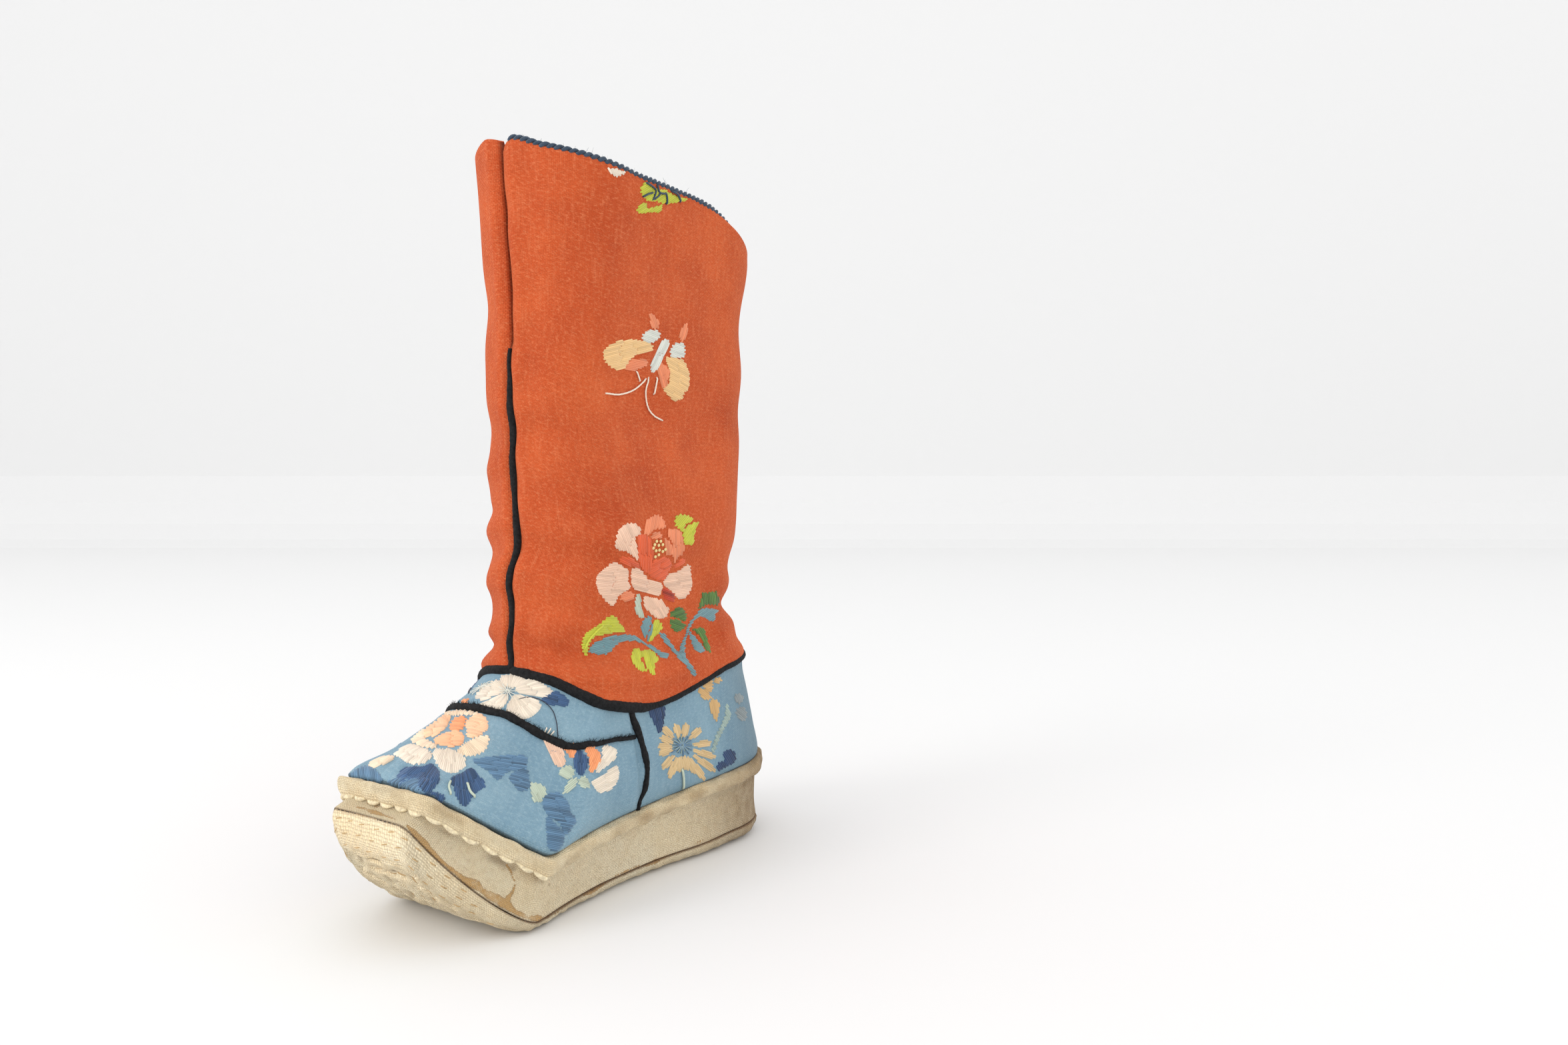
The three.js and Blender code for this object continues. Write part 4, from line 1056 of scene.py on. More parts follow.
def quiltDepth(x, run):
    # dimples round each stitch, and the pads between them
    total = np.zeros(x.shape)
    for centreX, centreRun, alongX, alongRun in stitchTable:
        near = (np.abs(x - centreX) < quilting["xReach"]) & (np.abs(run - centreRun) < quilting["runReach"])
        dx, dr = x[near] - centreX, run[near] - centreRun
        across = dx * alongRun - dr * alongX
        along = np.maximum(np.abs(dx * alongX + dr * alongRun) - quilting["stitch"] / 2, 0)
        total[near] += np.exp(-(across / quilting["dimpleWidth"]) ** 2 - (along / quilting["dimpleEnd"]) ** 2)
    return np.minimum(total, quilting["deepest"])


def makeOutsole():
    # closed rings from the underside's middle line out to its rolled edge and up to the wall
    edge, flat = outsoleRing(0, outsoleTop), outsoleRing(sole["insetFlat"], outsoleBottom)
    edge[:, 2] += grooveWave
    rise = np.linspace(0, 1, sole["rollRows"])
    out = alongTable([0, 0.14, 0.4, 0.75, 1], [0, 0.6, 1, 0.72, 0], rise)
    away = levelled(edge - flat)
    side = np.stack([flat + (edge - flat) * r + away * sole["roll"] * o for r, o in zip(rise, out)])
    bottom = np.array(fillRing(flat, sole["fillRows"]))[::-1]
    points = np.concatenate([bottom, side])
    normals = gridNormals(points)
    underside = np.zeros(points.shape[:2])
    underside[:len(bottom) + 4] = 1
    run = sweepRun(points[..., 1])
    swept = quiltShare(points[..., 1])
    normals[:len(bottom)] = unit(np.nan_to_num(normals[:len(bottom)]) + [0, 0, -1e-6])
    dimple = -quilting["depth"] * quiltDepth(points[..., 0], run) * underside * swept
    lumps = 0.22 * ripple(points[..., 0] / 16, run / 16, 21) * underside * swept
    around = runningLength(points, 1, True)[:-1][None, :] / 11
    fray = 0.3 * ripple(around * 3.0, points[..., 2] / 7, 23, 9)
    fray = (fray + 0.25 * ripple(around, points[..., 2] / 30, 25)) * (1 - underside)
    fray = fray * np.concatenate([np.zeros(len(bottom)), np.sin(np.pi * rise) ** 0.5])[:, None]
    points = points + normals * (dimple + lumps + fray)[..., None]
    points[..., 2] = np.maximum(points[..., 2], 0.02)
    top = np.array(fillRing(points[-1] + [0, 0, 0.02], 3))
    return np.concatenate([points, top]), len(bottom)


outsoleGrid, bottomRows = makeOutsole()


def makeWall():
    # lines from the outsole up into the welt, drawn towards the middle as a half sine: a slight hollow
    low = outsoleRing(0, lambda y: outsoleTop(y) + 0.15)
    low[:, 2] += grooveWave
    high = soleRing(soleSteps, lambda y: weltTop(y) - last["weltThickness"] * 0.5)
    rows = []
    for r in np.linspace(0, 1, sole["wallRows"]):
        p = low + (high - low) * r
        middle = np.stack([0 * p[:, 0], np.clip(p[:, 1], ballY, rearLineY - last["heelRound"]), p[:, 2]], -1)
        rows.append(p + unit(middle - p) * sole["hollow"] * np.sin(np.pi * r))
    points = np.array(rows)
    points[0] = points[0] - gridNormals(points)[0] * 0.5
    return points


# creases of the side wall: side, ring millimetres from the toe's middle and height, twice, width, depth
wallFolds = [
    (0, 62, 9, 66, 17, 1.2, -0.35), (1, 70, 6, 73, 16, 1.0, -0.3), (0, 56, 12, 60, 19, 1.0, 0.25),
    (1, 77, 9, 90, 18, 1.6, -0.3), (-1, 80, 8, 86, 18, 1.6, -0.35), (0, 150, 10, 158, 20, 2.4, -0.3),
]


def finishWall(points):
    # creases, lumps and the line under the welt behind the ball
    halfRun = runBothWays(points[0])[None, :] + 0 * points[..., 0]
    side = mirrored(soleSteps)[1][None, :]
    below = (weltTop(points[..., 1]) - points[..., 2]) - scallop["thin"] - 2.4 - 0.3 * np.sin(halfRun / 6)
    line = -0.22 * bell(below, 0.55) * smooth(ballY + 18, ballY + 34, points[..., 1])
    lumps = 0.28 * ripple(halfRun / 26 + side, points[..., 2] / 18, 31)
    push = foldHeight(halfRun, points[..., 2], side, wallFolds, 1) + line + lumps
    ends = np.sin(np.pi * np.linspace(0.03, 1, len(points)))[:, None] ** 0.4
    return points + gridNormals(points) * (push * ends)[..., None]


wallGrid = finishWall(makeWall())

# the rim's section as shares of how far it stands proud and of its thickness: a full roll at the
# toe, and behind the ball a flat band with a crisp lower edge
rollProfile = np.array([(-1, 1), (0.1, 0.98), (0.62, 0.96), (0.95, 0.74), (1.02, 0.45), (0.84, 0.14),
                        (0.35, 0), (0, 0), (-1, 0)])
bandProfile = np.array([(-1, 1), (0.1, 1.0), (0.52, 0.99), (0.78, 0.9), (0.9, 0.5), (0.78, 0.15),
                        (0.4, 0.02), (0, 0), (-1, 0)])
# between the two, a slope that runs out into the wall without an edge
slopeProfile = np.array([(-1, 1), (-0.1, 1), (0.14, 0.84), (0.36, 0.62), (0.62, 0.4), (0.74, 0.14),
                         (0.4, 0), (0, 0), (-1, 0)])


def makeWelt():
    # the rim's section carried round the welt line: the three profiles blended by their shares, with
    # loops under the toe as the absolute sine of the running length
    keys = np.linspace(0, 1, len(rollProfile))
    base, guide = soleRing(soleSteps, weltTop), soleRing(soleSteps, weltTop, grow=last["weltProud"])
    away = levelled(soleRing(soleSteps, weltTop, grow=1.0) - base)
    halfRun, y = runBothWays(guide), guide[:, 1]
    slope = bell(y - ballY - scallop["slopeMiddle"], scallop["slopeReach"], 4)
    band = smooth(ballY + 1, ballY + 13, y) * (1 - slope)
    roll = 1 - band - slope
    thick = scallop["roll"] * roll + scallop["thin"] * band + scallop["slope"] * slope
    wave = np.abs(np.sin(np.pi * halfRun / scallop["width"])) ** 0.6 * (1 - smooth(ballY - 2, ballY + 3, y))
    heelSmooth = smooth(rearLineY - last["heelRound"], rearLineY, y)
    proud = last["weltProud"] + (last["weltProudAtHeel"] - last["weltProud"]) * heelSmooth
    shares = ((rollProfile, roll), (bandProfile, band), (slopeProfile, slope))
    rows = []
    for t in np.linspace(0, 1, sole["weltRows"]):
        out, down = (sum(alongTable(keys, profile[:, k], t) * share for profile, share in shares)
                     for k in (0, 1))
        reach = np.where(out > 0, out * proud, out * sole["seat"])
        loop = wave * (smooth(0.45, 1.0, down) * smooth(-0.1, 0.5, out))
        row = base + away * (reach + loop * scallop["proud"])[:, None]
        row[:, 2] = weltTop(row[:, 1]) - down * thick - loop * scallop["drop"]
        rows.append(row)
    points = np.array(rows)
    across = np.linspace(0, 1, len(points))[:, None]
    lumps = (0.26 * ripple(halfRun[None, :] / 9, np.linspace(0, 3, len(points))[:, None], 41)
             + 0.2 * ripple(halfRun[None, :] / 24, across, 43))
    outside = smooth(-0.2, 0.3, across * 4) * smooth(1.0, 0.8, across)
    return points + gridNormals(points, closedRows=True) * (lumps * outside)[..., None], halfRun


weltGrid, weltRun = makeWelt()
soleTree = treeOf((outsoleGrid, False), (wallGrid, False), (weltGrid, True))


def heelShadeAndSoil(points):  # darker towards the heel: painted shade, with some soil
    return smooth(rear - 70, rear - 12, points[..., 1])


def soleMarks(points, seam):
    dirtAndShade = np.maximum(stainMarks(points, soleDirt, soleTree), heelShadeAndSoil(points))
    return dict(dirtAndShade=dirtAndShade, glue=stainMarks(points, glueStrokes, soleTree), seam=seam)


def grooveShade(grid, width):  # painted shade along the groove between outsole and wall
    return bell(outsoleTop(grid[..., 1]) + grooveWave - grid[..., 2], width)


def addSole():
    # the underside's cloth lies straight over the sweep, and the rest runs round the edge
    uv = clothMap(outsoleGrid)
    faces = gridFaces(*outsoleGrid.shape[:2]).reshape(outsoleGrid.shape[0] - 1, -1, 4)
    flat = outsoleGrid.reshape(-1, 3)
    straight = np.stack([flat[:, 0], sweepRun(flat[:, 1])], -1)
    uv[:bottomRows] = straight[faces[:bottomRows]]
    # painted shade along the groove, and in the dimples of the underside
    seam = grooveShade(outsoleGrid, 0.35)
    run = sweepRun(outsoleGrid[:bottomRows, :, 1])
    seam[:bottomRows] = 0.42 * quiltDepth(outsoleGrid[:bottomRows, :, 0], run) ** 4
    marks = soleMarks(outsoleGrid, seam)
    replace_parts(gridObject("outsole_pad", outsoleGrid, soleCanvas, marks=marks, uv=uv), "outsole")
    # painted shade under the welt behind the ball, and along the groove
    under = weltTop(wallGrid[..., 1]) - wallGrid[..., 2]
    shade = 0.5 * smooth(ballY + 22, ballY + 32, wallGrid[..., 1]) * smooth(5.6, 4.4, under)
    seam = np.maximum(grooveShade(wallGrid, 0.45), shade)
    wall = gridObject("side_wall", wallGrid, soleCanvas, marks=soleMarks(wallGrid, seam))
    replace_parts(wall, "midsole")
    # painted shade along the lower edge of the rim's band behind the ball
    behind = smooth(ballY + 24, ballY + 34, weltGrid[..., 1])
    rows = np.arange(sole["weltRows"])[:, None]
    marks = soleMarks(weltGrid, 0.85 * behind * bell(rows - sole["weltRows"] * 0.17, 2.2))
    patches = 0.3 + 0.3 * ripple(weltRun[None, :] / 14, rows / 20, 47)
    marks["dirtAndShade"] = np.maximum(marks["dirtAndShade"], behind * patches)
    rim = gridObject("welt_rim", weltGrid, weltCanvas, closedRows=True, marks=marks)
    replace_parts(rim, "welt")


addSole()


def makeInsole():
    # a padded bed: flat bottom, rounded edge, and a top that sinks a little under the foot
    grow = -sole["seat"] - sole["gap"]
    bottom = last["weltThickness"] - 0.4
    rows = [soleRing(soleSteps, lambda y: weltTop(y) - bottom, grow=grow - 6)]
    for t in np.linspace(0, 1, 8):
        rows.append(soleRing(soleSteps, lambda y: weltTop(y) - bottom + (sole["insoleThickness"] - 0.4) * t,
                             grow=grow - sole["insoleBevel"] * (2 * t - 1) ** 4))
    lid = np.array(fillRing(rows[-1], 20))
    sink = np.linspace(0, 1, 21)[1:, None]
    lid[..., 2] += 0.5 * np.sin(np.pi * np.minimum(sink * 2, 1)) * 0.5 - 0.8 * smooth(0.2, 1, sink)
    points = np.concatenate([np.array(rows), lid])
    return gridObject("padded_insole", points, insoleCotton, marks=cleanMarks(points))


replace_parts(makeInsole(), "insole")
print("sole made")


# Piping, binding and stitches

cords = dict(rise=0.35, pitch=0.45, sides=16, frontRadius=1.15, ply=0.64, plyTurn=4.2)


def upperColumn(step, side):  # the grid's column at a step of the half ring
    half = len(upperStep) // 2
    column = np.interp(step, upperStep[:half + 1], np.arange(half + 1))
    return np.where(side > 0, column, len(upperStep) - column)


def upperAt(step, up, side):
    return pointsOn(upperGrid, upperColumn(step, side), np.interp(up, upperUps, np.arange(len(upperUps))))


def normalsAt(points):  # the cloth's normals at the places nearest to points, outwards
    found = [clothTree.find_nearest(Vector(p)) for p in points]
    middle = np.array([0, shaftFront + shaft["depth"] / 2, 40.0])
    normals = np.array([hit[1] for hit in found])
    outward = np.sum(normals * (points - middle), -1, keepdims=True)
    return normals * np.where(outward < 0, -1, 1)


def pipingCord(name, node, path, radius, closed=False, lumps=0.07):
    # a felted cord: long swellings and small lumps stand out all over its surface
    run = runAlong(path)
    angle = np.linspace(0, 1, cords["sides"], endpoint=False)[None, :]
    swelling = 1 + lumps * ripple(run[:, None] / 9, angle * 0.6, 3)
    felted = swelling + lumps * 0.6 * ripple(run[:, None] / 2.2, angle * 2, 4)
    thick = np.broadcast_to(radius, run.shape)[:, None] * felted
    if closed:
        blend = smooth(run[-1], run[-1] - 8, run)[:, None]
        thick = thick * blend + thick[0] * (1 - blend)
    tube = tubeAlong(path, thick, cords["sides"], closed)
    tube = tube if closed else closedEnds(tube)
    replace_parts(gridObject(name, tube, blackCloth, closedRows=closed), node)


def makeAnklePiping():  # thicker at the front
    path = evenPath(upperGrid[-1][::3], cords["pitch"], closed=True)
    level = unit((path - [0, shaftFront + shaft["depth"] / 2, 0]) * [1, 0.5, 0])
    radius = 1.05 + 0.6 * smooth(8, -6, path[:, 1])
    pipingCord("ankle_piping_cord", "ankle_piping", path + level * cords["rise"], radius, closed=True)


def seamLine(fromStep, toStep, upTable, count=60):
    # the vamp's seam over both sides, from the wearer's right to the left
    t = np.linspace(-1, 1, count)
    step = fromStep + (toStep - fromStep) * np.abs(t)
    return upperAt(step, alongTable(*upTable.T, np.abs(t)), np.where(t < 0, -1, 1))


def hairs(name, path, away, count, material, length, width, seed=5):
    # frayed fibres: narrow bent strips that leave a cord at chosen places
    draw = np.random.default_rng(seed)
    at = draw.integers(2, len(path) - 2, count)
    tangent = unit(path[at + 1] - path[at - 1])
    lean = unit(away[at] + tangent * draw.normal(0, 0.7, (count, 1)) + draw.normal(0, 0.35, (count, 3)))
    bend = unit(lean + draw.normal(0, 0.5, (count, 3)))
    size = draw.uniform(*length, (count, 1))
    start = path[at] + lean * 0.2
    line = np.stack([start, start + lean * size * 0.5, start + (lean * 0.5 + bend * 0.5) * size], 1)
    across = unit(np.cross(lean, draw.normal(0, 1, (count, 3))))[:, None] * width
    taper = np.array([1, 0.8, 0.3])[None, :, None]
    grids = np.stack([line - across * taper, line + across * taper], 2)
    gridsObject(name, grids, material, closedColumns=False)


def makeVampPiping():
    line = seamLine(0, upper["sideSeamStep"], vampSeam)
    path = evenPath(line, cords["pitch"])
    normals = normalsAt(path)
    run = np.arange(len(path)) * cords["pitch"]
    fromFront = np.abs(run / run[-1] * 2 - 1)
    radius = 0.68 + 0.6 * smooth(0.8, 0.3, fromFront) + 0.14 * wavy(run, 30, 61)
    path = path + normals * cords["rise"] + upwards * 0.18 * wavy(run, 16, 62)[:, None]
    pipingCord("vamp_piping_cord", "vamp_piping", path, radius, lumps=0.16)
    top = unit(normals * 0.6 + [0, 0.35, 0.8])
    hairs("vamp_piping_fuzz", path + top * radius[:, None] * 0.8, top, 520, blackCloth,
          (0.6, 1.5), 0.07)


def makeSidePiping(side, name):
    up = np.linspace(0.0, 1, 24)
    bow = 0.16 * np.sin(np.pi * up) * smooth(0, 0.2, up)
    path = evenPath(upperAt(upper["sideSeamStep"] + bow, up, side), cords["pitch"])
    uneven = 1 + 0.12 * np.sin(np.arange(len(path)) * 0.35 + side)
    pipingCord("side_piping_cord_" + name, "side_piping_" + name,
               path + normalsAt(path) * cords["rise"] * 0.6,
               np.linspace(0.65, 1.15, len(path)) * uneven, lumps=0.12)


def makeFrontPiping():
    column = shaftGrid[:, 0]
    path = evenPath(column[column[:, 2] < shaft["pipingTop"]][::3], cords["pitch"])
    run = np.arange(len(path)) * cords["pitch"]
    radius = cords["frontRadius"] * (1 + 0.14 * wavy(run, 17, 71)) * (0.5 + 0.5 * smooth(0, 14, run[::-1]))
    sideways = np.array([1, 0, 0]) * 0.35 * wavy(run, 15, 73)[:, None]
    pipingCord("front_piping_cord", "front_piping", path + [0, -0.4, 0] + sideways, radius, lumps=0.08)


def makeBinding():
    # two plies twisted about each other along the top edge, sinking inside towards the rear
    inset = levelled(gridNormals(shaftGrid)[-1])
    sunk = np.maximum(smooth(0.62, 0.8, shaftAlong), shaftSide < 0)[:, None]
    keep = np.roll(np.arange(len(shaftRing)), len(shaftRing) // 2)
    top = shaftGrid[-1] - inset * (0.75 + 1.5 * sunk) + [0, 0, 0.75] - sunk * [0, 0, 1.3]
    line = top[keep][::-1]
    line = np.roll(line, -(len(line) // 2), 0)[16:-16]
    path = evenPath(line[::2], cords["pitch"] * 0.7)
    run = np.arange(len(path)) * cords["pitch"] * 0.7
    tangent = unit(slopeOf(path, 0, False))
    beside = unit(np.cross(tangent, [0, 0, 1.0]))
    plies = []
    for ply in range(2):
        turn = (run / cords["plyTurn"] * 2 * np.pi + ply * np.pi)[:, None]
        wander = 0.12 * wavy(run, 12, 81 + ply)[:, None] * beside
        offset = (beside * np.cos(turn) + upwards * np.sin(turn)) * cords["ply"] * 0.85 + wander
        thick = cords["ply"] * (1 + 0.12 * wavy(run, 7, 83 + ply))
        plies.append(closedEnds(tubeAlong(path + offset, thick, 7)))
    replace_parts(gridsObject("collar_binding_cord", plies, navyCloth), "collar_binding")
    hairs("collar_binding_frays", path, unit(beside * 0.6 + upwards), 90, navyCloth,
          (1.2, 3.4), 0.06, 9)


makeAnklePiping()
makeVampPiping()
makeSidePiping(1, "left")
makeSidePiping(-1, "right")
makeFrontPiping()
makeBinding()
print("piping and binding made")


def stitchMesh(name, lines, radius):
    # each line of points becomes a small tube, in a thread darker than the canvas that paints the shade of
    # the slits it lies in
    tubes = [closedEnds(tubeAlong(line, radius, 6)) for line in lines]
    gridsObject(name, tubes, stitchShadeThread)


def makeQuiltStitches():
    # short bowed threads sunk into the dimples; those too near the pad's edge are left out
    flat = outsoleRing(sole["insetFlat"], outsoleBottom)[:sole["columns"] // 2]
    order = np.argsort(flat[:, 1])
    lengths = np.linspace(front - 1, rear, 900)
    half = quilting["stitch"] / 2 + 0.35
    t = np.linspace(-1, 1, 6)
    bow = quilting["bow"] * (1 - t * t)
    threads = []
    for x, runAt, alongX, alongRun in stitchTable:
        run = runAt + alongRun * half * t + alongX * bow
        y = np.interp(run, sweepRun(lengths), lengths)
        z = outsoleBottom(y)
        slope = unit(np.stack([0 * y + 0.2, outsoleBottom(y + 0.1) - outsoleBottom(y - 0.1)], -1))
        normal = np.stack([0 * y, slope[:, 1], -slope[:, 0]], -1)
        across = x + alongX * half * t - alongRun * bow
        room = np.interp(y, flat[order, 1], flat[order, 0]).min() - 0.8
        if np.max(np.abs(across)) <= room and y[0] >= flat[:, 1].min() + 0.6:
            depth = 0.12 - quilting["depth"] * quiltShare(y) - 0.4 * t ** 4
            threads.append(np.stack([across, y, z], -1) + normal * depth[:, None])
    stitchMesh("outsole_quilting", threads, quilting["threadRadius"])


def makeEdgeStitches():
    # rows of running stitches round the toe, between the outsole's edge and its underside
    lines = []
    pitch, reach = quilting["edgePitch"], quilting["edgeReach"]
    for k, share in enumerate(quilting["edgeRows"]):
        row = bottomRows + sole["rollRows"] * share
        run = runAlong(pointsOn(outsoleGrid, soleColumns, row))
        normals = gridNormals(outsoleGrid)[int(row)]
        for start in np.arange(-reach, reach, pitch) + k * pitch / 2:
            at = (start + rng.uniform(-0.6, 0.6) + np.linspace(0, quilting["edgeStitch"], 6)) % run[-1]
            column = np.interp(at, run, np.arange(len(run)))
            up = row + rng.uniform(-0.8, 0.8) + np.linspace(-0.4, 0.4, 6)
            lift = 0.05 - 0.4 * np.linspace(-1, 1, 6) ** 4
            out = pointsOn(normals[None].repeat(2, 0), column, 0.0)
            lines.append(pointsOn(outsoleGrid, column, up) + out * lift[:, None])
    stitchMesh("outsole_edge_stitches", lines, quilting["edgeRadius"])


def makeRimCord():
    # thick loops of cord side by side under the rim, from the toe to the ball
    rimRow = sole["weltRows"] * 0.24
    low = pointsOn(weltGrid, soleColumns, rimRow)
    level = levelled(gridNormals(weltGrid, closedRows=True)[20])
    half = sole["columns"] // 2
    ballRun = weltRun[:half][low[:half, 1] < ballY - 1].max()
    loops, count = [], int(ballRun / scallop["width"])
    for side in (1, -1):
        for k in range(count + 1):
            t = np.linspace(-0.1, 1.12, 14)
            at = np.clip((k + t) * scallop["width"] + rng.uniform(-0.5, 0.5), -4, ballRun + 1)
            column = np.interp(np.abs(at), weltRun[:half], np.arange(half)) * np.sign(at) * side
            sag = np.sin(np.pi * np.clip(t, 0, 1)) ** 0.7
            tail = smooth(1.0, 1.12, t)
            centre = pointsOn(weltGrid, column, rimRow)
            out = pointsOn(level[None].repeat(2, 0), column, 0.0)
            centre = centre + out * (-1.0 + 0.9 * sag - 0.8 * tail)[:, None]
            centre = centre - upwards * (-0.3 + 0.6 * sag - 0.5 * tail)[:, None]
            loops.append(closedEnds(tubeAlong(centre, 0.32 + 0.42 * sag * rng.uniform(0.85, 1.1), 9)))
    gridsObject("rim_cord_loops", loops, hemp)


# a thread darker than the canvas: painted shade for the slits that the stitches lie in
stitchShadeThread = yarn("stitch_shade_thread", srgb(190, 156, 106))
makeQuiltStitches()
makeEdgeStitches()
makeRimCord()
print("stitches made")


# Embroidery. Each shape is a colour, the lie of its threads and an outline, x and y in turn, in pixels
# of the photograph. The lie is degrees clockwise from the right, or a point that they run out from.

# the heel's tan and navy threads are painted darker for the shade that falls on the heel, where they are sewn
flossColours = dict(
    palePink=(246, 207, 180), coral=(240, 144, 100), redOrange=(230, 98, 50), deepRed=(196, 64, 34),
    lime=(200, 203, 62), green=(86, 124, 56), blueGrey=(116, 153, 160), tan=(246, 206, 146),
    mist=(226, 228, 218), cream=(244, 231, 212), peach=(254, 205, 164), orange=(250, 166, 112),
    apricot=(254, 190, 144), beige=(248, 224, 194), slate=(44, 64, 84), navy=(60, 92, 132),
    dusk=(98, 134, 164), paleGreen=(198, 210, 190), straw=(238, 215, 150), shadedTan=(222, 192, 142),
    shadedNavy=(40, 66, 104), grey=(136, 146, 148), ochre=(216, 176, 118), sage=(160, 180, 172),
    ink=(40, 42, 60),
)
peony = [
    ("palePink", 65, [940, 785, 952, 785, 959, 792, 961, 801, 955, 805, 953, 810, 956, 822, 958, 842,
     951, 837, 940, 829, 927, 825, 922, 819, 924, 808, 926, 797, 932, 788]),
    ("coral", 100, [967, 802, 967, 793, 968, 782, 977, 775, 984, 772, 992, 775, 996, 782, 997, 792,
     985, 794, 977, 799, 975, 803]),
    ("coral", 92, [1001, 798, 1003, 794, 1012, 792, 1021, 796, 1023, 803, 1026, 820, 1024, 832, 1017, 837,
     1012, 846, 1010, 838, 1007, 828, 1009, 818, 1005, 810]),
    ("redOrange", 88, [955, 807, 963, 801, 973, 805, 978, 817, 979, 838, 977, 853, 971, 860, 963, 853,
     958, 842, 957, 827]),
    ("redOrange", -30, [979, 842, 998, 835, 1004, 840, 1007, 848, 1003, 858, 998, 867, 988, 871, 980, 868,
     972, 860, 975, 852]),
    ("coral", -30, [977, 808, 978, 802, 985, 798, 992, 800, 992, 807, 983, 808]),
    ("coral", 85, [997, 808, 1002, 810, 1007, 818, 1007, 827, 1005, 833, 1000, 833, 999, 823, 996, 815]),
    ("redOrange", 25, [932, 835, 942, 836, 951, 840, 959, 847, 962, 853, 953, 851, 940, 848, 930, 842]),
    ("redOrange", -30, [1010, 851, 1014, 845, 1024, 838, 1028, 840, 1027, 845, 1018, 851]),
    ("palePink", 5, [917, 845, 927, 845, 934, 849, 942, 855, 943, 863, 942, 873, 947, 880, 942, 885,
     931, 891, 927, 897, 923, 905, 917, 908, 910, 903, 902, 895, 897, 885, 894, 873, 897, 862, 907, 853]),
    ("palePink", 15, [946, 863, 947, 855, 953, 852, 963, 856, 967, 862, 975, 870, 987, 874, 993, 877,
     993, 883, 990, 892, 983, 894, 975, 892, 967, 890, 953, 884, 948, 877]),
    ("palePink", -8, [993, 875, 1003, 861, 1015, 858, 1024, 852, 1032, 847, 1036, 853, 1039, 865, 1039, 880,
     1033, 892, 1025, 898, 1015, 897, 1012, 892, 1002, 884]),
    ("palePink", 60, [967, 895, 977, 897, 993, 900, 998, 908, 1003, 914, 1002, 922, 995, 927, 988, 928,
     980, 924, 973, 918, 967, 912, 965, 905]),
    ("coral", -20, [929, 898, 935, 889, 945, 887, 952, 891, 951, 897, 942, 903, 932, 901]),
    ("deepRed", 20, [993, 884, 1002, 885, 1012, 893, 1012, 902, 1005, 901, 997, 898]),
    ("lime", -50, [1012, 782, 1015, 774, 1022, 772, 1032, 773, 1040, 777, 1035, 784, 1028, 787, 1024, 796,
     1015, 792]),
    ("lime", -60, [1049, 784, 1042, 784, 1030, 790, 1024, 798, 1025, 808, 1027, 816, 1033, 818, 1039, 815,
     1041, 805, 1044, 793]),
    ("green", -20, [1005, 925, 1008, 917, 1020, 911, 1027, 915, 1030, 923, 1027, 932, 1017, 928]),
    ("green", 20, [1004, 930, 1015, 930, 1029, 938, 1027, 942, 1017, 948, 1008, 944, 1005, 937]),
    ("green", 85, [1054, 888, 1060, 889, 1073, 887, 1077, 893, 1077, 908, 1062, 907, 1048, 913, 1050, 905]),
    ("blueGrey", -35, [1078, 916, 1060, 912, 1050, 916, 1040, 927, 1032, 937, 1027, 955, 1022, 965,
     1020, 977, 1027, 978, 1027, 967, 1032, 950, 1037, 937, 1045, 927, 1053, 924, 1063, 930, 1071, 930,
     1072, 923]),
    ("blueGrey", 40, [990, 949, 998, 953, 1008, 967, 1018, 978, 1027, 978, 1030, 988, 1043, 1008,
     1041, 1015, 1030, 1000, 1020, 990, 1010, 978, 998, 965, 991, 954]),
    ("blueGrey", 30, [1034, 948, 1040, 954, 1048, 962, 1058, 977, 1048, 978, 1039, 970, 1035, 958]),
    ("green", 60, [1039, 943, 1052, 942, 1057, 948, 1060, 958, 1067, 980, 1058, 972, 1052, 958, 1043, 948]),
    ("lime", 0, [918, 924, 927, 928, 930, 935, 937, 945, 935, 949, 922, 949, 907, 952, 893, 955, 885, 963,
     882, 973, 880, 983, 875, 978, 873, 965, 875, 955, 882, 948, 895, 940, 903, 933, 910, 927]),
    ("blueGrey", -15, [882, 978, 892, 965, 903, 959, 917, 955, 932, 952, 950, 954, 953, 961, 935, 962,
     925, 968, 913, 980, 900, 982]),
    ("blueGrey", 35, [950, 954, 963, 962, 975, 968, 985, 975, 982, 979, 967, 967, 953, 961]),
    ("blueGrey", 10, [982, 976, 990, 977, 1005, 983, 998, 987, 988, 984]),
    ("lime", 75, [950, 975, 958, 973, 961, 978, 962, 990, 970, 1008, 960, 1005, 950, 997, 946, 985]),
    ("lime", 75, [962, 977, 970, 973, 980, 978, 987, 990, 982, 998, 982, 1015, 973, 1007, 967, 993]),
    ("blueGrey", 70, [975, 925, 977, 933, 973, 947, 969, 956, 964, 953, 961, 942, 967, 928]),
    ("blueGrey", 100, [979, 935, 977, 948, 973, 962, 970, 958, 975, 945]),
    ("lime", 110, [984, 930, 992, 935, 993, 942, 988, 950, 980, 958, 974, 964, 977, 948, 981, 935]),
    ("paleGreen", 75, [957, 890, 961, 900, 962, 912, 965, 927, 958, 925, 952, 918, 953, 902]),
]
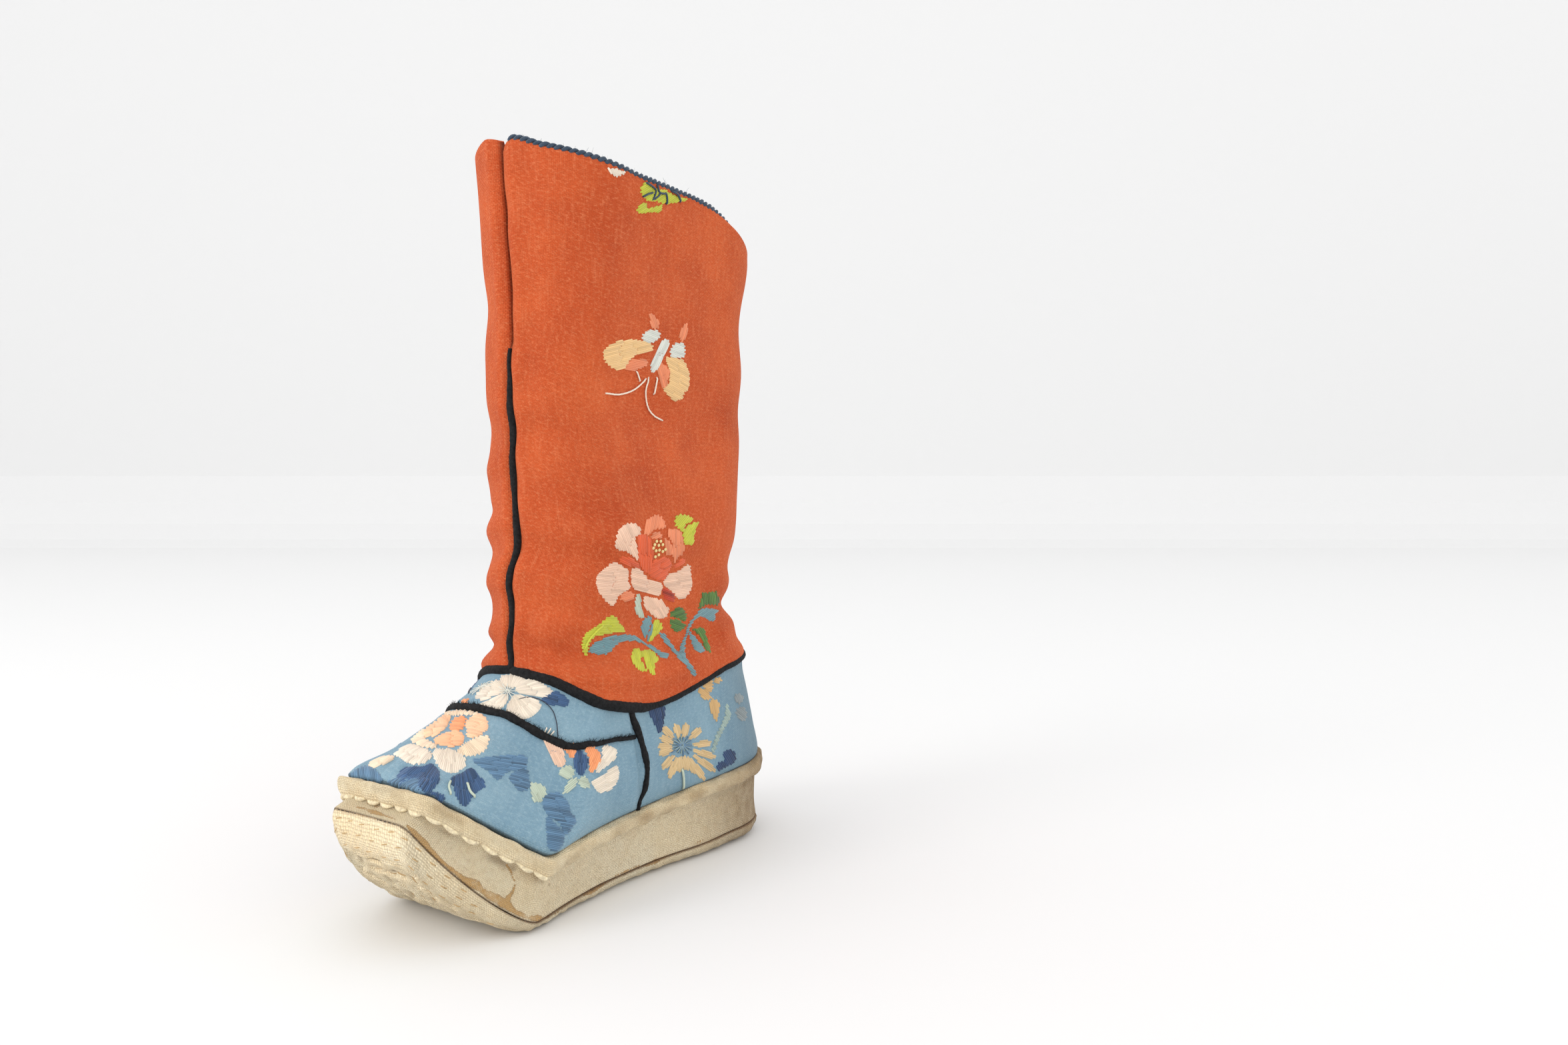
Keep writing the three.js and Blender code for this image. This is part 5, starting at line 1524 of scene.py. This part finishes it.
butterfly = [
    ("tan", -15, [904, 531, 912, 520, 930, 511, 956, 510, 977, 515, 979, 526, 962, 530, 948, 538, 938, 551,
     925, 555, 910, 547]),
    ("coral", 10, [937, 550, 949, 539, 971, 541, 969, 550, 945, 557]),
    ("coral", 75, [986, 561, 991, 544, 1002, 553, 1004, 565, 995, 583]),
    ("tan", 30, [999, 537, 1015, 537, 1028, 544, 1034, 565, 1030, 587, 1017, 602, 1002, 594, 995, 583,
     1004, 572, 1004, 553]),
    ("mist", 20, [963, 505, 971, 496, 986, 496, 991, 505, 982, 513, 969, 515]),
    ("mist", 20, [1005, 526, 1012, 516, 1025, 516, 1028, 529, 1025, 537, 1008, 535]),
    ("mist", -65, [975, 553, 986, 528, 995, 509, 1004, 509, 1002, 524, 991, 546, 980, 561]),
    ("coral", 70, [975, 468, 986, 480, 988, 492, 980, 494, 975, 483]),
    ("coral", 105, [1030, 483, 1031, 494, 1025, 513, 1019, 509, 1023, 492]),
    ("lime", -35, [961, 284, 966, 275, 976, 273, 988, 278, 1000, 282, 1011, 287, 1022, 293, 1031, 299,
     1018, 303, 998, 306, 982, 302, 970, 300, 963, 294]),
    ("lime", -35, [955, 317, 957, 311, 967, 304, 971, 307, 969, 311, 978, 312, 991, 307, 994, 311, 987, 318,
     972, 319, 960, 320]),
    ("cream", 60, [912, 252, 934, 256, 936, 261, 923, 265, 916, 259]),
]
toeFlower = [
    ("beige", (680, 1090), [664, 1070, 686, 1066, 710, 1068, 719, 1072, 698, 1073, 679, 1073]),
    ("peach", (680, 1090), [664, 1071, 676, 1076, 668, 1093, 658, 1101, 642, 1107, 633, 1100, 637, 1085,
     650, 1074]),
    ("orange", 5, [681, 1078, 698, 1076, 699, 1085, 693, 1095, 674, 1095]),
    ("peach", 12, [702, 1078, 720, 1072, 732, 1081, 730, 1095, 719, 1105, 702, 1107, 699, 1095]),
    ("apricot", 0, [652, 1107, 674, 1098, 691, 1098, 698, 1107, 694, 1117, 676, 1121, 652, 1116]),
    ("beige", (680, 1090), [606, 1108, 622, 1098, 634, 1092, 638, 1103, 632, 1108, 612, 1110]),
    ("beige", (680, 1090), [686, 1127, 698, 1114, 717, 1105, 732, 1105, 733, 1114, 727, 1128, 708, 1135,
     693, 1133]),
    ("cream", (680, 1090), [650, 1127, 664, 1123, 686, 1127, 698, 1139, 696, 1153, 681, 1159, 667, 1157,
     654, 1146]),
    ("cream", (680, 1090), [616, 1117, 635, 1123, 647, 1128, 647, 1136, 635, 1146, 616, 1146, 601, 1137,
     591, 1131]),
    ("beige", (690, 1090), [616, 1110, 635, 1107, 654, 1118, 650, 1123, 630, 1120]),
    ("beige", (680, 1090), [553, 1146, 572, 1136, 589, 1134, 589, 1140, 562, 1152]),
    ("navy", (680, 1110), [596, 1163, 611, 1151, 635, 1150, 647, 1146, 659, 1158, 658, 1173, 650, 1185,
     647, 1194, 628, 1187, 625, 1173, 611, 1173, 599, 1179]),
    ("navy", (680, 1120), [650, 1190, 664, 1192, 667, 1199, 659, 1204]),
]
toeLeaves = [
    ("navy", (688, 1120), [676, 1168, 691, 1160, 708, 1153, 720, 1165, 728, 1179, 713, 1190, 698, 1210,
     688, 1202, 681, 1185]),
    ("dusk", 80, [525, 1165, 531, 1156, 550, 1148, 565, 1156, 574, 1173, 560, 1175, 541, 1170]),
    ("dusk", 8, [708, 1141, 732, 1136, 771, 1133, 790, 1136, 788, 1153, 764, 1158, 747, 1170, 732, 1158]),
    ("dusk", 15, [764, 1163, 788, 1153, 795, 1170, 793, 1185, 776, 1185]),
    ("paleGreen", 60, [795, 1176, 811, 1176, 820, 1190, 810, 1203, 800, 1201]),
    ("dusk", 10, [814, 1205, 822, 1191, 840, 1190, 852, 1205, 856, 1218, 864, 1232, 848, 1253, 838, 1234,
     822, 1224]),
    ("dusk", 10, [820, 1226, 832, 1234, 848, 1253, 839, 1276, 822, 1272, 819, 1253]),
]
sideFlower = [
    ("palePink", 65, [814, 1106, 827, 1106, 838, 1116, 848, 1138, 843, 1151, 832, 1146, 822, 1127]),
    ("orange", 75, [840, 1115, 862, 1116, 864, 1127, 859, 1138, 851, 1132, 846, 1124]),
    ("navy", 85, [866, 1126, 872, 1127, 882, 1138, 880, 1154, 872, 1163, 862, 1154, 860, 1138]),
    ("orange", 110, [875, 1119, 891, 1120, 901, 1130, 899, 1146, 886, 1161, 883, 1149, 882, 1135]),
    ("cream", 125, [905, 1120, 921, 1119, 926, 1127, 921, 1140, 905, 1154, 894, 1162, 894, 1151,
     902, 1138]),
    ("cream", 150, [886, 1173, 905, 1162, 921, 1149, 929, 1151, 929, 1167, 918, 1183, 899, 1190,
     889, 1181]),
    ("paleGreen", 30, [840, 1165, 840, 1154, 854, 1149, 862, 1159, 856, 1169]),
    ("paleGreen", -40, [844, 1191, 851, 1175, 864, 1166, 866, 1175, 856, 1187]),
    ("paleGreen", 20, [867, 1170, 878, 1165, 886, 1181, 872, 1181]),
]
instepFlower = [
    ("cream", (763, 1040), [713, 1047, 725, 1030, 742, 1020, 754, 1023, 760, 1033, 755, 1039, 740, 1045,
     724, 1050]),
    ("cream", (762, 1044), [752, 1014, 771, 1011, 786, 1014, 784, 1024, 770, 1033, 758, 1030, 752, 1022]),
    ("cream", (763, 1038), [775, 1031, 787, 1021, 800, 1018, 819, 1029, 829, 1038, 817, 1048, 798, 1045,
     776, 1039]),
    ("cream", (765, 1035), [759, 1063, 766, 1048, 776, 1042, 795, 1047, 812, 1056, 805, 1069, 788, 1079,
     768, 1077, 760, 1070]),
    ("cream", (765, 1037), [718, 1060, 732, 1050, 752, 1042, 763, 1044, 758, 1057, 748, 1067, 730, 1067]),
    ("orange", -40, [688, 1061, 696, 1050, 703, 1049, 699, 1059]),
]
instepLeaves = [
    ("navy", 15, [812, 1049, 831, 1037, 851, 1047, 851, 1059, 836, 1059, 822, 1056]),
]
# painted shade: the heel's navy threads are darker for the shade there
heelFlowers = [
    ("shadedNavy", 75, [972, 1065, 982, 1056, 996, 1060, 997, 1076, 990, 1100, 982, 1087]),
    ("ochre", 40, [1046, 1033, 1056, 1034, 1067, 1045, 1064, 1050, 1054, 1048]),
    ("ochre", 10, [1053, 1025, 1060, 1018, 1068, 1021, 1069, 1033, 1064, 1039, 1057, 1033]),
    ("ochre", 80, [1063, 1055, 1070, 1048, 1077, 1052, 1079, 1062, 1075, 1082, 1066, 1069]),
    ("ochre", 20, [1070, 1020, 1078, 1016, 1082, 1021, 1076, 1026]),
    ("sage", 60, [1089, 1056, 1093, 1062, 1096, 1076, 1088, 1090, 1080, 1104, 1071, 1127, 1068, 1125,
     1075, 1102, 1083, 1086, 1088, 1072]),
    ("shadedNavy", 60, [1084, 1131, 1092, 1124, 1101, 1128, 1104, 1138, 1101, 1146, 1090, 1150, 1078, 1157,
     1075, 1150, 1079, 1144, 1089, 1140]),
    ("grey", 70, [1102, 1043, 1110, 1041, 1115, 1050, 1109, 1056, 1102, 1052]),
    ("grey", 40, [1103, 1068, 1111, 1060, 1119, 1066, 1120, 1078, 1112, 1082]),
]
# petals of the heel's flower: its middle, where they start, their tips and half their width
asterMiddle, asterStart, asterHalf = (1022, 1120), 0.38, 4.3
asterTips = [
    (993, 1090), (1013, 1086), (1030, 1085), (1052, 1092), (1068, 1114), (1073, 1136), (1073, 1157),
    (1057, 1170), (1044, 1162), (1031, 1156), (1018, 1159), (1004, 1167), (993, 1154), (988, 1132),
    (987, 1120), (990, 1106),
]
# knots and thin lines: colour, radius in millimetres and places
knots = [
    ("straw", 0.55, [(984, 812), (990, 812), (981, 817), (987, 818), (993, 817), (983, 826), (988, 825),
     (993, 827), (997, 824), (982, 835), (987, 832), (979, 822)]),
]
fineLines = [
    ("cream", 0.26, [(969, 568), (949, 585), (927, 592), (908, 590)]),
    ("cream", 0.26, [(973, 566), (967, 587), (971, 613), (982, 626), (994, 631)]),
    ("cream", 0.26, [(954, 557), (959, 572)]), ("cream", 0.26, [(985, 566), (980, 592)]),
    ("slate", 0.32, [(968, 274), (976, 279), (983, 285)]),
    ("slate", 0.32, [(983, 285), (981, 292), (978, 300)]),
    ("slate", 0.3, [(964, 295), (971, 291), (979, 289)]),
    ("slate", 0.32, [(985, 278), (988, 289), (999, 291)]),
    ("slate", 0.36, [(997, 289), (999, 297), (999, 306)]),
    ("slate", 0.3, [(989, 291), (985, 295), (980, 299)]),
    ("slate", 0.34, [(1007, 287), (1015, 292), (1020, 303)]),
    ("slate", 0.3, [(998, 289), (1004, 287), (1011, 288)]),
    ("ink", 0.13, [(771, 1053), (790, 1047), (807, 1049), (827, 1064), (834, 1083), (837, 1107)]),
    ("lime", 0.3, [(905, 938), (893, 948), (882, 962), (877, 975)]),
    ("paleGreen", 0.4, [(1022, 1154), (1024, 1168), (1024, 1183)]),
    ("cream", 0.2, [(816, 1100), (820, 1092)]), ("cream", 0.2, [(821, 1101), (826, 1093)]),
    ("cream", 0.2, [(826, 1103), (831, 1097)]),
    ("paleGreen", 0.35, [(700, 1175), (704, 1188), (712, 1196)]),
    ("paleGreen", 0.3, [(676, 1172), (673, 1182), (676, 1192)]),
]
# threads that run out from a flower's middle: colour, radius, middle, how many, and their reach
stamens = [
    ("mist", 0.13, (762, 1038), 12, (9, 18)), ("dusk", 0.2, (1022, 1118), 13, (11, 20)),
    ("sage", 0.17, (1022, 1118), 15, (7, 20)),
]
sewing = dict(pitch=2.5, longest=34, overlap=3.0, width=1.6, ragged=1.9, arch=0.28, pad=0.34, grow=-0.2,
              farthest=15, drawBack=0.16, tries=6)
threadSteps = np.array([0, 0.1, 0.35, 0.65, 0.9, 1])


def roundedOutline(points, between=6):
    # closed Catmull-Rom curve through an outline's points
    p = np.asarray(points, float).reshape(-1, 2)
    t = np.linspace(0, 1, between, endpoint=False)[None, :, None]
    a, b, c, d = (np.roll(p, k, 0)[:, None] for k in (1, 0, -1, -2))
    curve = b + (c - a) / 2 * t + (a - 2.5 * b + 2 * c - d / 2) * t ** 2
    return (curve + (-a / 2 + 1.5 * b - 1.5 * c + d / 2) * t ** 3).reshape(-1, 2)


def crossings(outline, level):
    # where a closed outline crosses a level line, sorted along it
    after = np.roll(outline, -1, 0)
    hit = (outline[:, 1] > level) != (after[:, 1] > level)
    a, b = outline[hit], after[hit]
    return np.sort(a[:, 0] + (b[:, 0] - a[:, 0]) * (level - a[:, 1]) / (b[:, 1] - a[:, 1]))


def threadEnds(lie, outline):
    # parallel or radiating threads across an outline, as start, end and a unit across, in pixels
    shape = roundedOutline(outline)
    fromMiddle = shape - shape.mean(0)
    shape = shape + fromMiddle / np.linalg.norm(fromMiddle, axis=1, keepdims=True) * sewing["grow"]
    if isinstance(lie, tuple):
        away = shape - lie
        middle = away.mean(0)
        turn = math.atan2(middle[1], middle[0])
        angle = (np.arctan2(away[:, 1], away[:, 0]) - turn + np.pi) % (2 * np.pi) - np.pi
        reach = np.linalg.norm(middle)
        flat = np.stack([np.linalg.norm(away, axis=1), angle * reach], -1)
    else:
        turn, reach = math.radians(lie), 0
        cos, sin = math.cos(turn), math.sin(turn)
        flat = np.stack([shape[:, 0] * cos + shape[:, 1] * sin, shape[:, 1] * cos - shape[:, 0] * sin], -1)
    threads = []
    for level in np.arange(flat[:, 1].min() + 0.6, flat[:, 1].max() - 0.3, sewing["pitch"]):
        ends = crossings(flat, level + rng.uniform(-0.25, 0.25))
        for start, end in zip(ends[::2], ends[1::2]):
            jag = sewing["ragged"] * (len(threads) % 2)
            start, end = start - jag + rng.uniform(-0.7, 0.7), end + jag + rng.uniform(-0.7, 0.7)
            pieces = max(int(np.ceil((end - start) / sewing["longest"])), 1)
            cuts = np.linspace(start, end, pieces + 1)
            cuts[1:-1] += rng.uniform(-4, 4, pieces - 1)
            for a, b in zip(cuts, cuts[1:]):
                b = b + (sewing["overlap"] if b < end else 0)
                if b - a > 1.5:
                    threads.append((a, b, level))
    t = threadSteps
    wide = np.array([-1, -0.4, 0.4, 1]) * sewing["width"]
    result = []
    for a, b, level in threads:
        u = (a + (b - a) * t)[:, None] + 0 * wide
        v = level + np.outer(0.82 + 0.18 * np.sin(np.pi * t), wide)
        if isinstance(lie, tuple):
            angle = turn + v / reach
            result.append(np.stack([lie[0] + u * np.cos(angle), lie[1] + u * np.sin(angle)], -1))
        else:
            result.append(np.stack([u * cos - v * sin, u * sin + v * cos], -1))
    return np.array(result)


# painted shade: the heel's tan petals are darker for the shade there
def spokePetals():
    middle = np.array(asterMiddle, float)
    shapes = []
    for tip in np.array(asterTips, float):
        axis = tip - middle
        beside = np.array([-axis[1], axis[0]]) / np.linalg.norm(axis)
        side = [(asterStart, 0.5), (0.6, 1), (0.88, 1), (1, 0.35)]
        line = side + [(along, -out) for along, out in side[::-1]]
        outline = [tuple(middle + axis * along + beside * asterHalf * out) for along, out in line]
        shapes.append(("shadedTan", math.degrees(math.atan2(axis[1], axis[0])), outline))
    return shapes


def layThreads(threads, side):
    # threads on the cloth; an end that misses it, or lands far behind, is drawn back and tried again
    back = sewing["drawBack"] * threadSteps[None, :, None, None]
    place, normal = castPixels(threads, clothTree, side)
    for attempt in range(sewing["tries"]):
        depth = np.nan_to_num(np.linalg.norm(place - cameraPlace * [side, 1, 1], axis=-1), nan=np.inf)
        missed = ~(depth < depth.min((1, 2), keepdims=True) + sewing["farthest"]).all(2)
        again = missed.any(1)
        if attempt == sewing["tries"] - 1 or not again.any():
            return place[~again], normal[~again]
        redo, atStart, atEnd = threads[again], missed[again, :3].any(1), missed[again, 3:].any(1)
        run = redo[:, -1:] - redo[:, :1]
        redo = redo - run * back * atEnd[:, None, None, None]
        redo = redo + run * (sewing["drawBack"] - back) * atStart[:, None, None, None]
        threads[again] = redo
        place[again], normal[again] = castPixels(redo, clothTree, side)


def embroider(name, shapes):
    # threads as low arches laid over the cloth, their ends pushed into it; each shape has its sides
    grids, tints = [], []
    across = np.array([-0.2, 1, 1, -0.2])
    along = np.array([-1.6, 0.55, 1, 1, 0.55, -1.6])
    for (colour, lie, outline), sides in shapes:
        threads = threadEnds(lie, outline)
        if not len(threads):
            continue
        lift = sewing["pad"] * 0.35 + sewing["arch"] * np.minimum(across[None, :], along[:, None])
        for side in sides:
            place, normal = layThreads(threads.copy(), side)
            thread = place + normal * lift[None, :, :, None]
            grids.append(thread if side > 0 else thread[:, :, ::-1])
            base = np.array(srgb(*flossColours[colour])[:3])
            count = len(thread)
            bundle = 0.05 * np.sin(np.arange(count) * rng.uniform(0.7, 1.3) + rng.uniform(0, 6))
            strength = 2.2 if base.mean() < 0.25 else 0.8
            single = rng.choice([0.08, 0.03, -0.04, -0.13], count, p=[0.3, 0.36, 0.22, 0.12])
            shades = 0.93 + strength * (bundle + single)
            tints.append(np.clip(base * shades[:, None], 0, 1))
    grids, tints = np.concatenate(grids), np.concatenate(tints)
    paint(gridsObject(name, grids, floss, closedColumns=False), tints, grids)


def paint(thing, tints, grids):  # one tint for each small grid
    colours = np.repeat(tints, grids[0][..., 0].size, 0)
    tint = thing.data.attributes.new("tint", "FLOAT_COLOR", "POINT")
    opaque = np.concatenate([colours, np.ones((len(colours), 1))], 1)
    tint.data.foreach_set("color", opaque.astype(np.float32).ravel())


def fineWork(name, lines, dots, sides):
    # couched threads as tubes, and knots as small squashed balls
    tubes, balls, tints, ballTints = [], [], [], []
    for side in sides:
        for colour, radius, points in lines:
            path = evenPath(points, 3.0)
            at = np.linspace(0, len(path) - 1, 12)
            path = np.stack([np.interp(at, np.arange(len(path)), path[:, k]) for k in range(2)], -1)
            place, normal = castPixels(path, clothTree, side)
            if not np.isnan(place).any() and np.ptp(place[:, 1]) < 30:
                sink = np.array([-0.2] + [0.28] * 10 + [-0.2])[:, None]
                tubes.append(closedEnds(tubeAlong(place + normal * (radius * 0.6 + sink), radius, 6)))
                tints.append(srgb(*flossColours[colour])[:3])
        for colour, radius, points in dots:
            place, normal = castPixels(np.array(points, float), clothTree, side)
            for p, n in zip(place[:, None], normal[:, None]):
                rings = np.array([-0.9, -0.4, 0.2, 0.75])[:, None]
                middles = p + n * (0.3 + rings * radius * 0.7)
                balls.append(closedEnds(tubeAlong(middles, radius * np.sqrt(1 - rings[:, 0] ** 2), 7)))
                ballTints.append(srgb(*flossColours[colour])[:3])
    for part, grids, colours in (("lines", tubes, tints), ("knots", balls, ballTints)):
        if grids:
            paint(gridsObject(name + "_" + part, grids, floss), colours, grids)


def stamenLines():
    lines = []
    for colour, radius, middle, count, reaches in stamens:
        for angle in np.arange(count) / count * 2 * np.pi:
            ray = np.array([math.cos(angle), 0.85 * math.sin(angle)])
            reach = rng.uniform(*reaches)
            lines.append((colour, radius, [tuple(middle + ray * r) for r in (1.0, reach * 0.5, reach)]))
    return lines


floss = flossMaterial("silk_floss")


def onSides(shapes, sides=(1, -1)):
    return [(shape, sides) for shape in shapes]


embroider("shaft_embroidery", onSides(peony + butterfly))
embroider("vamp_embroidery", onSides(toeFlower, (1,)) + onSides(toeLeaves + sideFlower))
embroider("instep_embroidery", onSides(instepFlower, (1,)) + onSides(instepLeaves))
embroider("heel_embroidery", onSides(heelFlowers + spokePetals()))
fineWork("fine_embroidery", fineLines + stamenLines(), knots, (1, -1))
print("embroidery made")
